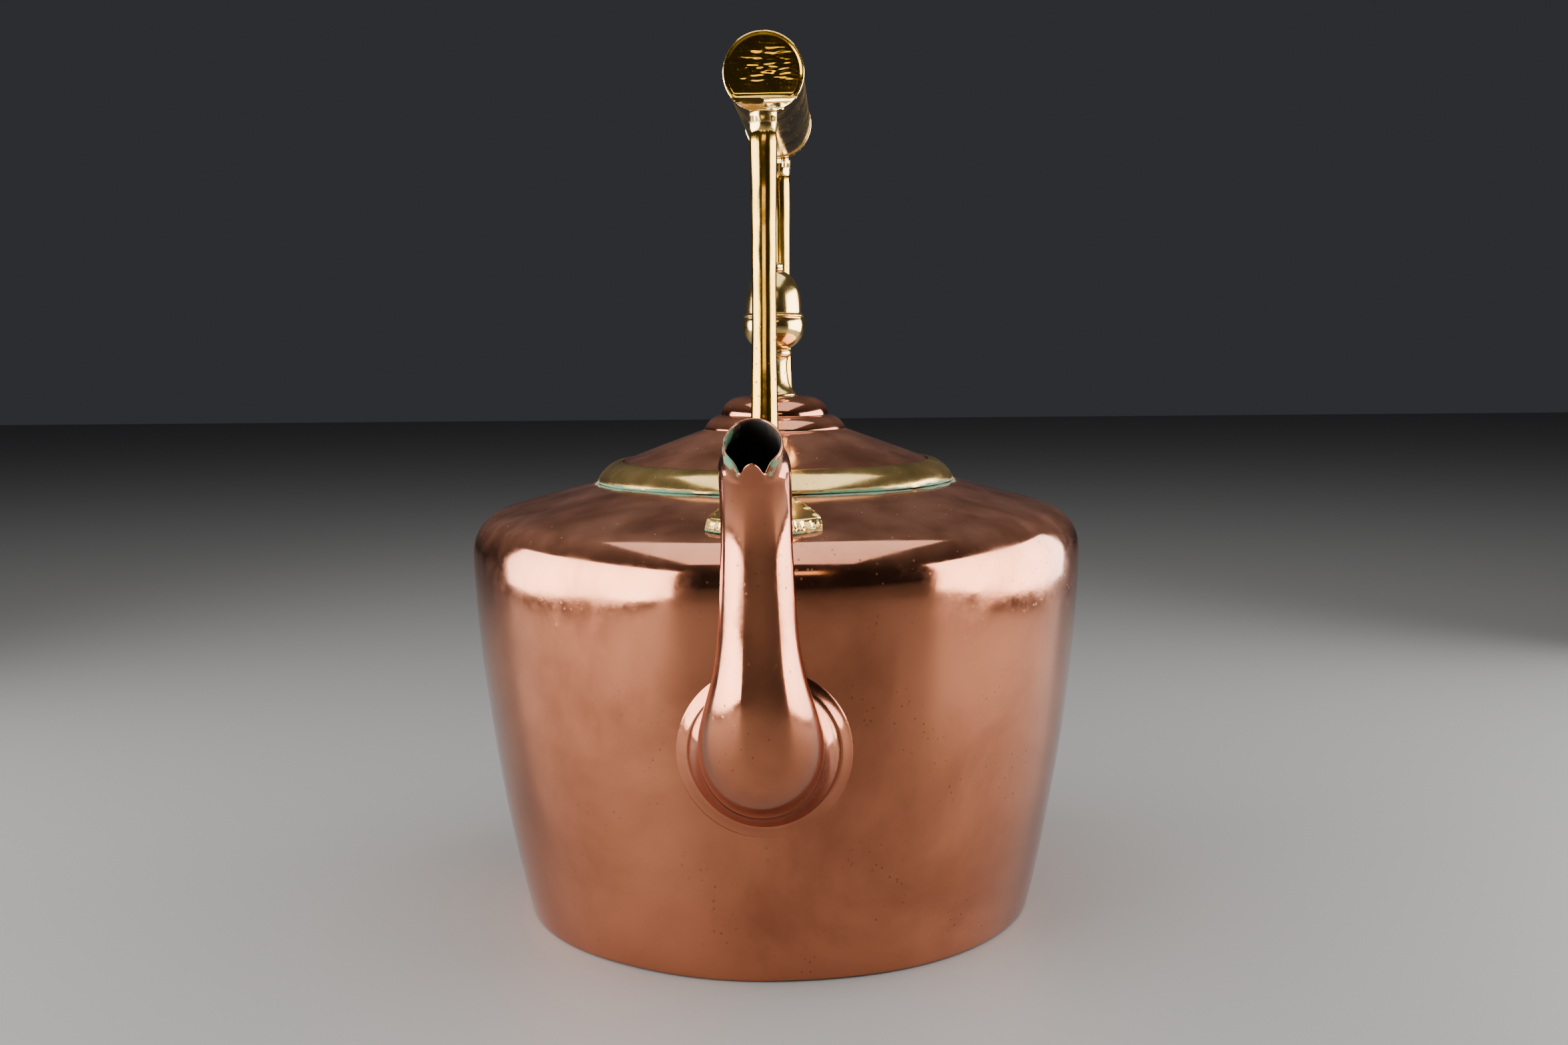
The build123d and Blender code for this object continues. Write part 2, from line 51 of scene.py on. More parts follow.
def deselectAll():
    if bpy.context.object and bpy.context.object.mode != "OBJECT":
        bpy.ops.object.mode_set(mode="OBJECT")
    bpy.ops.object.select_all(action="DESELECT")


def editAll(piece):
    deselectAll()
    piece.select_set(True)
    bpy.context.view_layer.objects.active = piece
    bpy.ops.object.mode_set(mode="EDIT")
    bpy.ops.mesh.select_all(action="SELECT")


def startRing(name, radius, height, sides, filled=False):
    # a circle on the kettle's axis, ready for extruding
    deselectAll()
    bpy.ops.mesh.primitive_circle_add(vertices=sides, radius=radius, location=(0, 0, height),
                                      fill_type="TRIFAN" if filled else "NOTHING")
    piece = bpy.context.object
    piece.name = name
    piece.data.name = name
    bpy.ops.object.transform_apply(location=True, rotation=True, scale=True)
    editAll(piece)
    return piece


def addModifier(piece, kind, **settings):
    # add a modifier with its settings and apply it at once
    deselectAll()
    piece.select_set(True)
    bpy.context.view_layer.objects.active = piece
    modifier = piece.modifiers.new(kind.lower(), kind)
    for key, value in settings.items():
        setattr(modifier, key, value)
    bpy.ops.object.modifier_apply(modifier=modifier.name)


def smoothPiece(piece, levels=0):
    if levels:
        addModifier(piece, "SUBSURF", levels=levels, render_levels=levels)
    deselectAll()
    piece.select_set(True)
    bpy.context.view_layer.objects.active = piece
    bpy.ops.object.shade_smooth()


def outwardFaces(piece):
    editAll(piece)
    bpy.ops.mesh.remove_doubles(threshold=mergeDistance)
    bpy.ops.mesh.normals_make_consistent(inside=False)
    bpy.ops.object.mode_set(mode="OBJECT")


def turnPiece(name, outline, sides, filled=False):
    # ring after ring is extruded and resized along the outline, as on a lathe
    radius, height = outline[0]
    piece = startRing(name, radius, height, sides, filled)
    for nextRadius, nextHeight in outline[1:]:
        bpy.ops.mesh.extrude_region_move(
            TRANSFORM_OT_translate={"value": (0, 0, nextHeight - height)})
        grow = nextRadius / radius
        bpy.ops.transform.resize(value=(grow, grow, 1), center_override=(0, 0, nextHeight))
        radius, height = nextRadius, nextHeight
    outwardFaces(piece)
    smoothPiece(piece, 2)
    return piece


def roundCorner(before, corner, after, radius, steps):
    # points of an arc that rounds one corner of an outline
    a, b, c = Vector(before), Vector(corner), Vector(after)
    toA, toC = (a - b).normalized(), (c - b).normalized()
    half = toA.angle(toC) / 2
    centre = b + (toA + toC).normalized() * radius / math.sin(half)
    first = b + toA * radius / math.tan(half) - centre
    last = b + toC * radius / math.tan(half) - centre
    points = []
    for index in range(steps + 1):
        arm = first.slerp(last, index / steps)
        points.append(tuple(centre + arm.normalized() * radius))
    return points


def softRipple(piece, size, strength, seed):
    # slow hand-beaten waves over the whole skin, in metres
    shift = Vector([seed * part for part in seedShift])
    mesh = piece.data
    moves = []
    for vertex in mesh.vertices:
        wave = noise.noise(vertex.co / size + shift)
        moves.append(vertex.normal * wave * strength)
    for vertex, move in zip(mesh.vertices, moves):
        vertex.co += move


def markCrevice(piece, howMuch):
    # a number from 0 to 1 at each point: where green copper salts gather, and where brown painted shade is
    # put
    marks = piece.data.attributes.new("crevice", "FLOAT", "POINT")
    for index, vertex in enumerate(piece.data.vertices):
        marks.data[index].value = max(0.0, min(1.0, howMuch(vertex.co)))


def fade(distance, width):
    # 1 at the place itself, down to 0 at the width
    return max(0.0, 1.0 - abs(distance) / width)


def step(value, low, high):
    # 0 below low, 1 above high and a soft climb between them
    share = max(0.0, min(1.0, (value - low) / (high - low)))
    return share * share * (3 - 2 * share)


def axisRadius(point):
    return math.hypot(point.x, point.y)


# the shader groups, each built once and shared by the metals

def newGroup(name, inputs, outputs):
    group = bpy.data.node_groups.new(name, "ShaderNodeTree")
    for label, kind, value in inputs:
        socket = group.interface.new_socket(label, in_out="INPUT", socket_type=kind)
        if value is not None:
            socket.default_value = value
    for label, kind in outputs:
        group.interface.new_socket(label, in_out="OUTPUT", socket_type=kind)
    start = group.nodes.new("NodeGroupInput")
    end = group.nodes.new("NodeGroupOutput")
    return group, start, end


def addNode(tree, kind, inputs=None, **settings):
    # a node with its settings, its values and the sockets that feed it
    node = tree.nodes.new(kind)
    for key, value in settings.items():
        setattr(node, key, value)
    for key, value in (inputs or {}).items():
        if isinstance(value, bpy.types.NodeSocket):
            tree.links.new(value, node.inputs[key])
        else:
            node.inputs[key].default_value = value
    return node


def noiseNode(tree, vector, scale, detail, roughness=0.5, distortion=0.0):
    return addNode(tree, "ShaderNodeTexNoise", {
        "Vector": vector, "Scale": scale, "Detail": detail, "Roughness": roughness,
        "Distortion": distortion}).outputs[0]


def cellNode(tree, vector, scale):
    return addNode(tree, "ShaderNodeTexVoronoi", {"Vector": vector, "Scale": scale}).outputs["Distance"]


def feedGroup(group, end, results):
    for label, socket in results.items():
        group.links.new(socket, end.inputs[label])
    return group


def mathNode(tree, operation, first, second=0.5, third=0.5, clamp=False):
    node = addNode(tree, "ShaderNodeMath", {0: first, 1: second, 2: third}, operation=operation,
                   use_clamp=clamp)
    return node.outputs[0]


def rangeNode(tree, value, low, high, newLow=0.0, newHigh=1.0):
    node = addNode(tree, "ShaderNodeMapRange", {"Value": value, "From Min": low, "From Max": high,
                   "To Min": newLow, "To Max": newHigh}, interpolation_type="SMOOTHSTEP")
    return node.outputs["Result"]


def mixColour(tree, factor, first, second):
    node = tree.nodes.new("ShaderNodeMix")
    node.data_type = "RGBA"
    for socket, value in ((node.inputs[0], factor), (node.inputs[6], first), (node.inputs[7], second)):
        if isinstance(value, bpy.types.NodeSocket):
            tree.links.new(value, socket)
        else:
            socket.default_value = value
    return node.outputs[2]


tarnishShape = {
    "cloudRange": (0.34, 0.7), "patchScale": 42.0, "patchRange": (0.5, 0.68),
    "pitScale": 330.0, "pitRange": (0.2, 0.1), "pitRough": 0.4, "pitDepth": -0.9,
    # turn of each set of scratches, and how far it is stretched
    "scratchSets": ((0.3, 0.02), (1.4, 0.03), (2.5, 0.025)), "scratchTilt": 0.7,
    "scratchScale": 1500.0, "scratchRange": (0.70, 0.78), "scratchRough": 0.16, "scratchDepth": -0.25,
    "smearScale": 60.0, "smearRange": (0.3, 0.75), "smearRough": 0.10, "dullRough": 0.10,
}


def makeTarnishGroup():
    # cloudy browning, pits and fine scratches of an old polished metal
    t = tarnishShape
    group, start, end = newGroup("oldPolish", [
        ("Vector", "NodeSocketVector", None),
        ("Bright", "NodeSocketColor", (0.9, 0.5, 0.35, 1)),
        ("Dull", "NodeSocketColor", (0.5, 0.22, 0.13, 1)),
        ("Stain", "NodeSocketColor", (0.2, 0.08, 0.04, 1)),
        ("Cloud Scale", "NodeSocketFloat", 14.0),
        ("Dullness", "NodeSocketFloat", 0.5),
        ("Pits", "NodeSocketFloat", 0.5),
        ("Scratches", "NodeSocketFloat", 0.5),
        ("Polish", "NodeSocketFloat", 0.12)],
        [("Color", "NodeSocketColor"), ("Roughness", "NodeSocketFloat"), ("Height", "NodeSocketFloat")])
    vector = start.outputs["Vector"]
    cloud = noiseNode(group, vector, start.outputs["Cloud Scale"], 5.0, 0.6, 0.4)
    cloudShare = rangeNode(group, cloud, *t["cloudRange"])
    dulled = mathNode(group, "MULTIPLY", cloudShare, start.outputs["Dullness"], clamp=True)
    colour = mixColour(group, dulled, start.outputs["Bright"], start.outputs["Dull"])
    # small dark pits, gathered in patches
    patchShare = rangeNode(group, noiseNode(group, vector, t["patchScale"], 2.0), *t["patchRange"])
    spots = rangeNode(group, cellNode(group, vector, t["pitScale"]), *t["pitRange"])
    pits = mathNode(group, "MULTIPLY", spots, patchShare)
    pits = mathNode(group, "MULTIPLY", pits, start.outputs["Pits"], clamp=True)
    colour = mixColour(group, pits, colour, start.outputs["Stain"])
    # fine scratches in three directions
    heights = []
    for turn, stretch in t["scratchSets"]:
        turned = addNode(group, "ShaderNodeMapping", {
            "Vector": vector, "Rotation": (turn, turn * t["scratchTilt"], turn),
            "Scale": (1.0, stretch, 1.0)})
        lines = noiseNode(group, turned.outputs[0], t["scratchScale"], 1.0, 0.4)
        heights.append(rangeNode(group, lines, *t["scratchRange"]))
    scratch = mathNode(group, "MAXIMUM", heights[0], heights[1])
    scratch = mathNode(group, "MAXIMUM", scratch, heights[2])
    scratch = mathNode(group, "MULTIPLY", scratch, start.outputs["Scratches"], clamp=True)
    # roughness: the clouds are duller, scratches and pits scatter light
    smear = noiseNode(group, vector, t["smearScale"], 6.0, 0.7)
    rough = rangeNode(group, smear, *t["smearRange"], 0.0, t["smearRough"])
    rough = mathNode(group, "ADD", rough, start.outputs["Polish"])
    rough = mathNode(group, "MULTIPLY_ADD", dulled, t["dullRough"], rough)
    rough = mathNode(group, "MULTIPLY_ADD", scratch, t["scratchRough"], rough)
    rough = mathNode(group, "MULTIPLY_ADD", pits, t["pitRough"], rough, clamp=True)
    height = mathNode(group, "MULTIPLY_ADD", scratch, t["scratchDepth"], 0.5)
    height = mathNode(group, "MULTIPLY_ADD", pits, t["pitDepth"], height)
    return feedGroup(group, end, {"Color": colour, "Roughness": rough, "Height": height})


verdigrisShape = {
    "crumbScale": 520.0, "spreadScale": 95.0, "spread": 1.3, "crumb": 0.5,
    "markRange": (0.02, 0.3), "saltRange": (0.55, 0.75), "brownRange": (0.1, 0.5), "brownShare": 0.55,
    "darkGreen": (0.015, 0.07, 0.03, 1), "paleGreen": (0.13, 0.29, 0.17, 1), "brown": (0.13, 0.07, 0.03, 1),
    "saltRough": 0.6, "brownRough": 0.15,
}


def makeVerdigrisGroup():
    # crusty green in the crevices, brown stain around it; the same brown also serves as painted shade where
    # a mark stands for shade
    t = verdigrisShape
    group, start, end = newGroup("verdigris", [
        ("Vector", "NodeSocketVector", None),
        ("Mask", "NodeSocketFloat", 0.0),
        ("Color", "NodeSocketColor", (0.8, 0.5, 0.3, 1)),
        ("Roughness", "NodeSocketFloat", 0.2)],
        [("Color", "NodeSocketColor"), ("Roughness", "NodeSocketFloat"), ("Metallic", "NodeSocketFloat"),
         ("Height", "NodeSocketFloat")])
    vector = start.outputs["Vector"]
    crumb = noiseNode(group, vector, t["crumbScale"], 4.0, 0.65)
    spread = noiseNode(group, vector, t["spreadScale"], 2.0)
    # both noises move the edge of the mark in and out
    broken = mathNode(group, "MULTIPLY_ADD", spread, t["spread"], -t["spread"] / 2)
    reach = mathNode(group, "ADD", start.outputs["Mask"], broken)
    reach = mathNode(group, "MULTIPLY", reach, rangeNode(group, start.outputs["Mask"], *t["markRange"]))
    grain = mathNode(group, "MULTIPLY_ADD", crumb, t["crumb"], -t["crumb"] / 2)
    crust = mathNode(group, "ADD", reach, grain)
    salt = rangeNode(group, crust, *t["saltRange"])
    brown = rangeNode(group, crust, *t["brownRange"])
    green = mixColour(group, crumb, t["darkGreen"], t["paleGreen"])
    stainAndShade = mathNode(group, "MULTIPLY", brown, t["brownShare"])
    colour = mixColour(group, stainAndShade, start.outputs["Color"], t["brown"])
    colour = mixColour(group, salt, colour, green)
    rough = mathNode(group, "MULTIPLY_ADD", salt, t["saltRough"], start.outputs["Roughness"])
    rough = mathNode(group, "MULTIPLY_ADD", brown, t["brownRough"], rough, clamp=True)
    metal = mathNode(group, "SUBTRACT", 1.0, salt, clamp=True)
    height = mathNode(group, "MULTIPLY", salt, crumb)
    return feedGroup(group, end, {"Color": colour, "Roughness": rough, "Metallic": metal, "Height": height})


peelScale = 330.0


def makeDentGroup():
    # shallow hand-beaten unevenness, as a height for a bump
    group, start, end = newGroup("handBeaten", [
        ("Vector", "NodeSocketVector", None),
        ("Wave Size", "NodeSocketFloat", 40.0),
        ("Wave", "NodeSocketFloat", 0.5),
        ("Orange Peel", "NodeSocketFloat", 0.1)],
        [("Height", "NodeSocketFloat")])
    vector = start.outputs["Vector"]
    wave = noiseNode(group, vector, start.outputs["Wave Size"], 1.0, 0.4)
    peel = noiseNode(group, vector, peelScale, 3.0, 0.55)
    height = mathNode(group, "MULTIPLY", wave, start.outputs["Wave"])
    peelHeight = mathNode(group, "MULTIPLY", peel, start.outputs["Orange Peel"])
    return feedGroup(group, end, {"Height": mathNode(group, "ADD", height, peelHeight)})


dustShape = {
    "upRange": (0.2, 0.95), "filmScale": 55.0, "filmRange": (0.25, 0.8), "filmAmount": (0.5, 1.2),
    "speckScale": 260.0, "speckRange": (0.09, 0.03), "speckAmount": 2.5, "colour": (0.42, 0.33, 0.28, 1),
}


def makeDustGroup():
    # a thin film of dust with specks, on faces that look up
    t = dustShape
    group, start, end = newGroup("settledDust", [
        ("Vector", "NodeSocketVector", None),
        ("Color", "NodeSocketColor", (0.8, 0.5, 0.3, 1)),
        ("Metallic", "NodeSocketFloat", 1.0),
        ("Amount", "NodeSocketFloat", 0.2)],
        [("Color", "NodeSocketColor"), ("Metallic", "NodeSocketFloat")])
    facing = addNode(group, "ShaderNodeNewGeometry").outputs["Normal"]
    upward = addNode(group, "ShaderNodeSeparateXYZ", {"Vector": facing}).outputs["Z"]
    flat = rangeNode(group, upward, *t["upRange"])
    vector = start.outputs["Vector"]
    specks = rangeNode(group, cellNode(group, vector, t["speckScale"]), *t["speckRange"])
    film = noiseNode(group, vector, t["filmScale"], 4.0)
    cover = rangeNode(group, film, *t["filmRange"], *t["filmAmount"])
    amount = mathNode(group, "MULTIPLY_ADD", specks, t["speckAmount"], cover)
    amount = mathNode(group, "MULTIPLY", amount, flat)
    amount = mathNode(group, "MULTIPLY", amount, start.outputs["Amount"], clamp=True)
    colour = mixColour(group, amount, start.outputs["Color"], t["colour"])
    clean = mathNode(group, "SUBTRACT", 1.0, amount, clamp=True)
    metal = mathNode(group, "MULTIPLY", clean, start.outputs["Metallic"])
    return feedGroup(group, end, {"Color": colour, "Metallic": metal})


dustGroup = makeDustGroup()
tarnishGroup = makeTarnishGroup()
verdigrisGroup = makeVerdigrisGroup()
dentGroup = makeDentGroup()


reliefShape = {"beaten": 0.4 * mm, "marks": 0.02 * mm, "crust": 0.25 * mm}


def metalMaterial(name, finish):
    # one old metal: polish and tarnish, then green salts in the crevices and brown painted shade where
    # marked
    material = bpy.data.materials.new(name)
    material.use_nodes = True
    tree = material.node_tree
    shader = tree.nodes["Principled BSDF"]
    place = addNode(tree, "ShaderNodeTexCoord").outputs["Object"]
    shared = ("Bright", "Dull", "Stain", "Cloud Scale", "Dullness", "Pits", "Scratches", "Polish")
    polish = addNode(tree, "ShaderNodeGroup", {
        "Vector": place, **{label: finish[label] for label in shared}}, node_tree=tarnishGroup)
    crevice = addNode(tree, "ShaderNodeAttribute", attribute_name="crevice")
    green = addNode(tree, "ShaderNodeGroup", {
        "Vector": place, "Mask": crevice.outputs["Fac"], "Color": polish.outputs["Color"],
        "Roughness": polish.outputs["Roughness"]}, node_tree=verdigrisGroup)
    dents = addNode(tree, "ShaderNodeGroup", {
        "Vector": place, "Wave Size": finish["Wave Size"], "Wave": finish["Wave"],
        "Orange Peel": finish["Orange Peel"]}, node_tree=dentGroup)
    wavy = addNode(tree, "ShaderNodeBump", {"Height": dents.outputs["Height"], "Strength": 1.0,
                   "Distance": reliefShape["beaten"]})
    marked = addNode(tree, "ShaderNodeBump", {"Height": polish.outputs["Height"], "Strength": 0.5,
                     "Distance": reliefShape["marks"], "Normal": wavy.outputs[0]})
    crusted = addNode(tree, "ShaderNodeBump", {"Height": green.outputs["Height"], "Strength": 0.8,
                      "Distance": reliefShape["crust"], "Normal": marked.outputs[0]})
    dust = addNode(tree, "ShaderNodeGroup", {
        "Vector": place, "Color": green.outputs["Color"], "Metallic": green.outputs["Metallic"],
        "Amount": finish["Dust"]}, node_tree=dustGroup)
    tree.links.new(dust.outputs["Color"], shader.inputs["Base Color"])
    tree.links.new(green.outputs["Roughness"], shader.inputs["Roughness"])
    tree.links.new(dust.outputs["Metallic"], shader.inputs["Metallic"])
    tree.links.new(crusted.outputs[0], shader.inputs["Normal"])
    return material


copperFinish = {
    "Bright": (0.54, 0.195, 0.102, 1), "Dull": (0.27, 0.088, 0.045, 1), "Stain": (0.10, 0.035, 0.02, 1),
    "Cloud Scale": 16.0, "Dullness": 0.7, "Pits": 0.55, "Scratches": 0.35, "Polish": 0.05,
    "Wave Size": 26.0, "Wave": 0.9, "Orange Peel": 0.03, "Dust": 0.2,
}
brassFinish = {
    "Bright": (0.82, 0.55, 0.19, 1), "Dull": (0.55, 0.32, 0.09, 1), "Stain": (0.12, 0.06, 0.02, 1),
    "Cloud Scale": 45.0, "Dullness": 0.45, "Pits": 0.8, "Scratches": 0.4, "Polish": 0.11,
    "Wave Size": 90.0, "Wave": 0.4, "Orange Peel": 0.04, "Dust": 0.08,
}
tinFinish = {
    "Bright": (0.17, 0.16, 0.15, 1), "Dull": (0.06, 0.055, 0.05, 1), "Stain": (0.05, 0.03, 0.02, 1),
    "Cloud Scale": 40.0, "Dullness": 1.0, "Pits": 0.9, "Scratches": 0.3, "Polish": 0.42,
    "Wave Size": 60.0, "Wave": 0.8, "Orange Peel": 0.2, "Dust": 0.0,
}
amberFinish = dict(brassFinish, Bright=(0.64, 0.37, 0.055, 1), Dull=(0.34, 0.17, 0.02, 1), Polish=0.08)
# painted shade: a darker, more amber copy of the brass for the grip's end faces
shadedFaceFinish = dict(brassFinish, Bright=(0.62, 0.36, 0.02, 1), Dull=(0.16, 0.07, 0.005, 1), Dullness=0.8,
                  Polish=0.03, Scratches=0.6)
copper = metalMaterial("oldCopper", copperFinish)
brass = metalMaterial("oldBrass", brassFinish)
tin = metalMaterial("dullTin", tinFinish)
amberBrass = metalMaterial("amberBrass", amberFinish)
shadedFaceBrass = metalMaterial("shadedFaceBrass", shadedFaceFinish)
print("materials made")


def finishPiece(piece, body, materials, slot, *nodes):
    for material in materials:
        piece.data.materials.append(material)
    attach(piece, body)
    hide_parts(*nodes)


# body: one beaten copper skin, tinned inside
bodyShape = {
    "baseRadius": 97.0 * mm, "cornerRadius": 115.8 * mm, "cornerHeight": 148.3 * mm,
    "slope": math.radians(15.0), "round": 16.0 * mm, "swell": 3.6 * mm, "sheet": 1.2 * mm,
    "neckRadius": 56.0 * mm, "footRound": 0.5 * mm, "wallSteps": 9, "sides": 128,
    "waveSize": 42.0 * mm, "waveDepth": 0.42 * mm, "cornerSteps": 6,
    "shoulderShares": (0.25, 0.5, 0.75, 0.96, 1.0),    # rings between the corner and the neck
    "seamRadius": 68.0 * mm, "seamWidth": 2.2 * mm, "saddleRadius": 28.6 * mm, "saddleWidth": 1.2 * mm,
    "middle": (0, 0, 80.0 * mm),
}


def shoulderHeight(radius, inset=0.0):
    s = bodyShape
    rise = (s["cornerRadius"] - radius) * math.tan(s["slope"])
    return s["cornerHeight"] + rise - inset / math.cos(s["slope"])


def wallRadius(height):
    s = bodyShape
    share = height / s["cornerHeight"]
    straight = s["baseRadius"] + (s["cornerRadius"] - s["baseRadius"]) * share
    return straight + 4 * s["swell"] * share * (1 - share)


def bodyOutline(inset):
    # from the foot up the wall, over the shoulder to the neck's hole
    s = bodyShape
    corner = (s["cornerRadius"] - inset, shoulderHeight(s["cornerRadius"] - inset, inset))
    top = corner[1] - s["round"]
    points = [(wallRadius(top * index / s["wallSteps"]) - inset, top * index / s["wallSteps"])
              for index in range(s["wallSteps"] + 1)]
    neck = (s["neckRadius"], shoulderHeight(s["neckRadius"], inset))
    points += roundCorner(points[-2], corner, neck, s["round"] - inset, s["cornerSteps"])[1:]
    start = points[-1]
    for share in s["shoulderShares"]:
        points.append((start[0] + (neck[0] - start[0]) * share, start[1] + (neck[1] - start[1]) * share))
    return points


def makeBody():
    s = bodyShape
    outside = bodyOutline(0.0)
    inside = bodyOutline(s["sheet"])
    foot = [(outside[0][0] - s["footRound"], 0.0), (outside[0][0] - 0.1 * mm, s["footRound"])]
    inner = [(inside[0][0], s["footRound"]), (inside[0][0], 0.0)]
    outline = foot + outside[1:] + list(reversed(inside[1:])) + inner + foot[:1]
    body = turnPiece("bodyShell", outline, s["sides"])
    softRipple(body, s["waveSize"], s["waveDepth"], 1)
    seamHeight = shoulderHeight(s["seamRadius"])

    def howMuch(point):
        radius = axisRadius(point)
        ring = fade(math.hypot(radius - s["seamRadius"], point.z - seamHeight), s["seamWidth"])
        root = math.hypot(point.x, point.z - spoutShape["rootHeight"])
        front = point.y < -s["baseRadius"]
        saddle = 0.12 * fade(root - s["saddleRadius"], s["saddleWidth"]) if front else 0.0
        return max(ring, saddle)
    markCrevice(body, howMuch)
    finishPiece(body, "kettle", [copper, tin], "copper", "body_shell")
    # inside faces look towards the middle of the kettle, and are tinned
    middle = Vector(s["middle"])
    for face in body.data.polygons:
        if face.normal.dot(face.center - middle) < 0 and face.center.z > 2 * mm:
            face.material_index = 1


# spout: a bent tapering tube with a beak at its mouth
spoutShape = {
    "rootHeight": 82.0 * mm, "sheet": 1.0 * mm, "sides": 40,
    # out from the wall, up from the root, lean in degrees, half width, half depth
    "rows": [
        (1.0, 0.0, -6.0, 24.9, 25.0), (2.3, 0.0, -6.0, 24.5, 24.6), (3.6, 0.1, -5.0, 22.9, 23.0),
        (5.6, 0.5, -1.0, 21.1, 21.2), (8.6, 1.3, 5.0, 19.7, 19.8), (12.0, 2.8, 13.0, 19.6, 19.7),
        (16.5, 5.9, 27.0, 20.0, 20.1), (21.0, 10.8, 43.0, 19.5, 19.6), (24.4, 17.4, 59.0, 18.1, 18.0),
        (26.2, 25.6, 72.0, 15.6, 15.5), (27.2, 35.0, 80.0, 13.1, 13.0), (28.2, 49.0, 84.0, 11.8, 11.7),
        (29.4, 68.0, 84.0, 11.0, 11.2), (30.2, 77.0, 80.0, 10.8, 11.1), (31.8, 85.0, 73.0, 10.75, 11.0),
        (34.6, 91.0, 64.0, 10.8, 10.9), (37.6, 95.4, 55.0, 10.8, 10.8), (39.3, 97.2, 51.0, 10.3, 10.8),
        (40.6, 98.6, 50.0, 9.2, 10.8), (43.0, 101.0, 49.0, 8.9, 10.8), (45.0, 102.9, 49.0, 8.85, 10.8)],
    "notchPlace": 27.0, "notchWidth": 10.0, "notchDepth": 4.2, "beakWidth": 12.0, "beakHeight": 2.2,
    # degrees round the tube from its lowest line, sizes in millimetres
    "pinchPlace": 35.0, "pinchWidth": 14.0, "pinch": 1.1, "lipRings": 3.0, "hugRings": 5.0,
    "earPlace": 58.0, "earWidth": 17.0, "earBack": 4.6, "earRings": 1.1, "earFold": 1.5, "earOut": 0.3,
    "foldSize": 1.9 * mm, "levelRing": 11,
    "waveSize": 20.0 * mm, "waveDepth": 0.12 * mm,
}


def spoutCentre(out, up):
    rootHeight = spoutShape["rootHeight"]
    return Vector((0, -wallRadius(rootHeight) - out * mm, rootHeight + up * mm))


def tubeAlong(name, sides, stations):
    # a ring at the first station, extruded, turned and resized to each next one
    deselectAll()
    centre, lean, wide, deep = stations[0]
    bpy.ops.mesh.primitive_circle_add(vertices=sides, radius=1.0, location=(0, 0, 0))
    piece = bpy.context.object
    piece.name = name
    piece.data.name = name
    editAll(piece)
    bpy.ops.transform.resize(value=(wide, deep, 1))
    tiltRing(Vector((0, 0, 0)), math.radians(90) - lean)
    bpy.ops.transform.translate(value=centre)
    for nextCentre, nextLean, nextWide, nextDeep in stations[1:]:
        bpy.ops.mesh.extrude_region_move(TRANSFORM_OT_translate={"value": nextCentre - centre})
        tiltRing(nextCentre, lean - math.radians(90))
        bpy.ops.transform.resize(value=(nextWide / wide, nextDeep / deep, 1), center_override=nextCentre)
        tiltRing(nextCentre, math.radians(90) - nextLean)
        centre, lean, wide, deep = nextCentre, nextLean, nextWide, nextDeep
    bpy.ops.object.mode_set(mode="OBJECT")
    return piece


def tiltRing(centre, angle):
    # positive leans a level ring's upper side towards the spout's side, -Y
    turn = Matrix.Rotation(angle, 4, "X")
    about = Matrix.Translation(centre) @ turn @ Matrix.Translation(-centre)
    piece = bpy.context.object
    bpy.ops.object.mode_set(mode="OBJECT")
    for vertex in piece.data.vertices:
        if vertex.select:
            vertex.co = about @ vertex.co
    bpy.ops.object.mode_set(mode="EDIT")


def bump(distance, width):
    return math.exp(-(distance / width) ** 2)


def turnOpenTube(tube, middle):
    # an open tube has no inside of its own, so the face nearest its middle decides
    near = min(tube.data.polygons, key=lambda face: (face.center - middle).length)
    if near.normal.dot(near.center - middle) < 0:
        editAll(tube)
        bpy.ops.mesh.flip_normals()
        bpy.ops.object.mode_set(mode="OBJECT")


def shapeSpoutRing(mesh, ring, station):
    # the root follows the round of the wall, and the lip has a beak, notches and folded ears
    s = spoutShape
    centre, lean = station[:2]
    ahead = Vector((0, -math.cos(lean), math.sin(lean)))
    down = Vector((0, -math.sin(lean), -math.cos(lean)))
    radius = wallRadius(s["rootHeight"])
    hug = max(0.0, 1.0 - ring / s["hugRings"])
    fromLip = ring - len(s["rows"])
    lip = max(0.0, (fromLip + 4) / s["lipRings"])
    for vertex in mesh.vertices[ring * s["sides"]:(ring + 1) * s["sides"]]:
        arm = vertex.co - centre
        around = math.degrees(math.atan2(arm.x, arm.dot(down)))
        if hug:
            vertex.co.y += hug * (radius - math.sqrt(radius ** 2 - vertex.co.x ** 2))
        if lip:
            notch = bump(abs(around) - s["notchPlace"], s["notchWidth"])
            beak = bump(around, s["beakWidth"])
            vertex.co += ahead * (beak * s["beakHeight"] - notch * s["notchDepth"]) * mm * lip
            pinch = bump(abs(around) - s["pinchPlace"], s["pinchWidth"])
            vertex.co -= Vector((arm.x, 0, 0)).normalized() * pinch * s["pinch"] * mm * lip
        ear = bump(fromLip + s["earBack"], s["earRings"]) * bump(abs(around) - s["earPlace"], s["earWidth"])
        fold = noise.noise(vertex.co / s["foldSize"]) * s["earFold"] + s["earOut"]
        vertex.co += arm.normalized() * ear * fold * mm


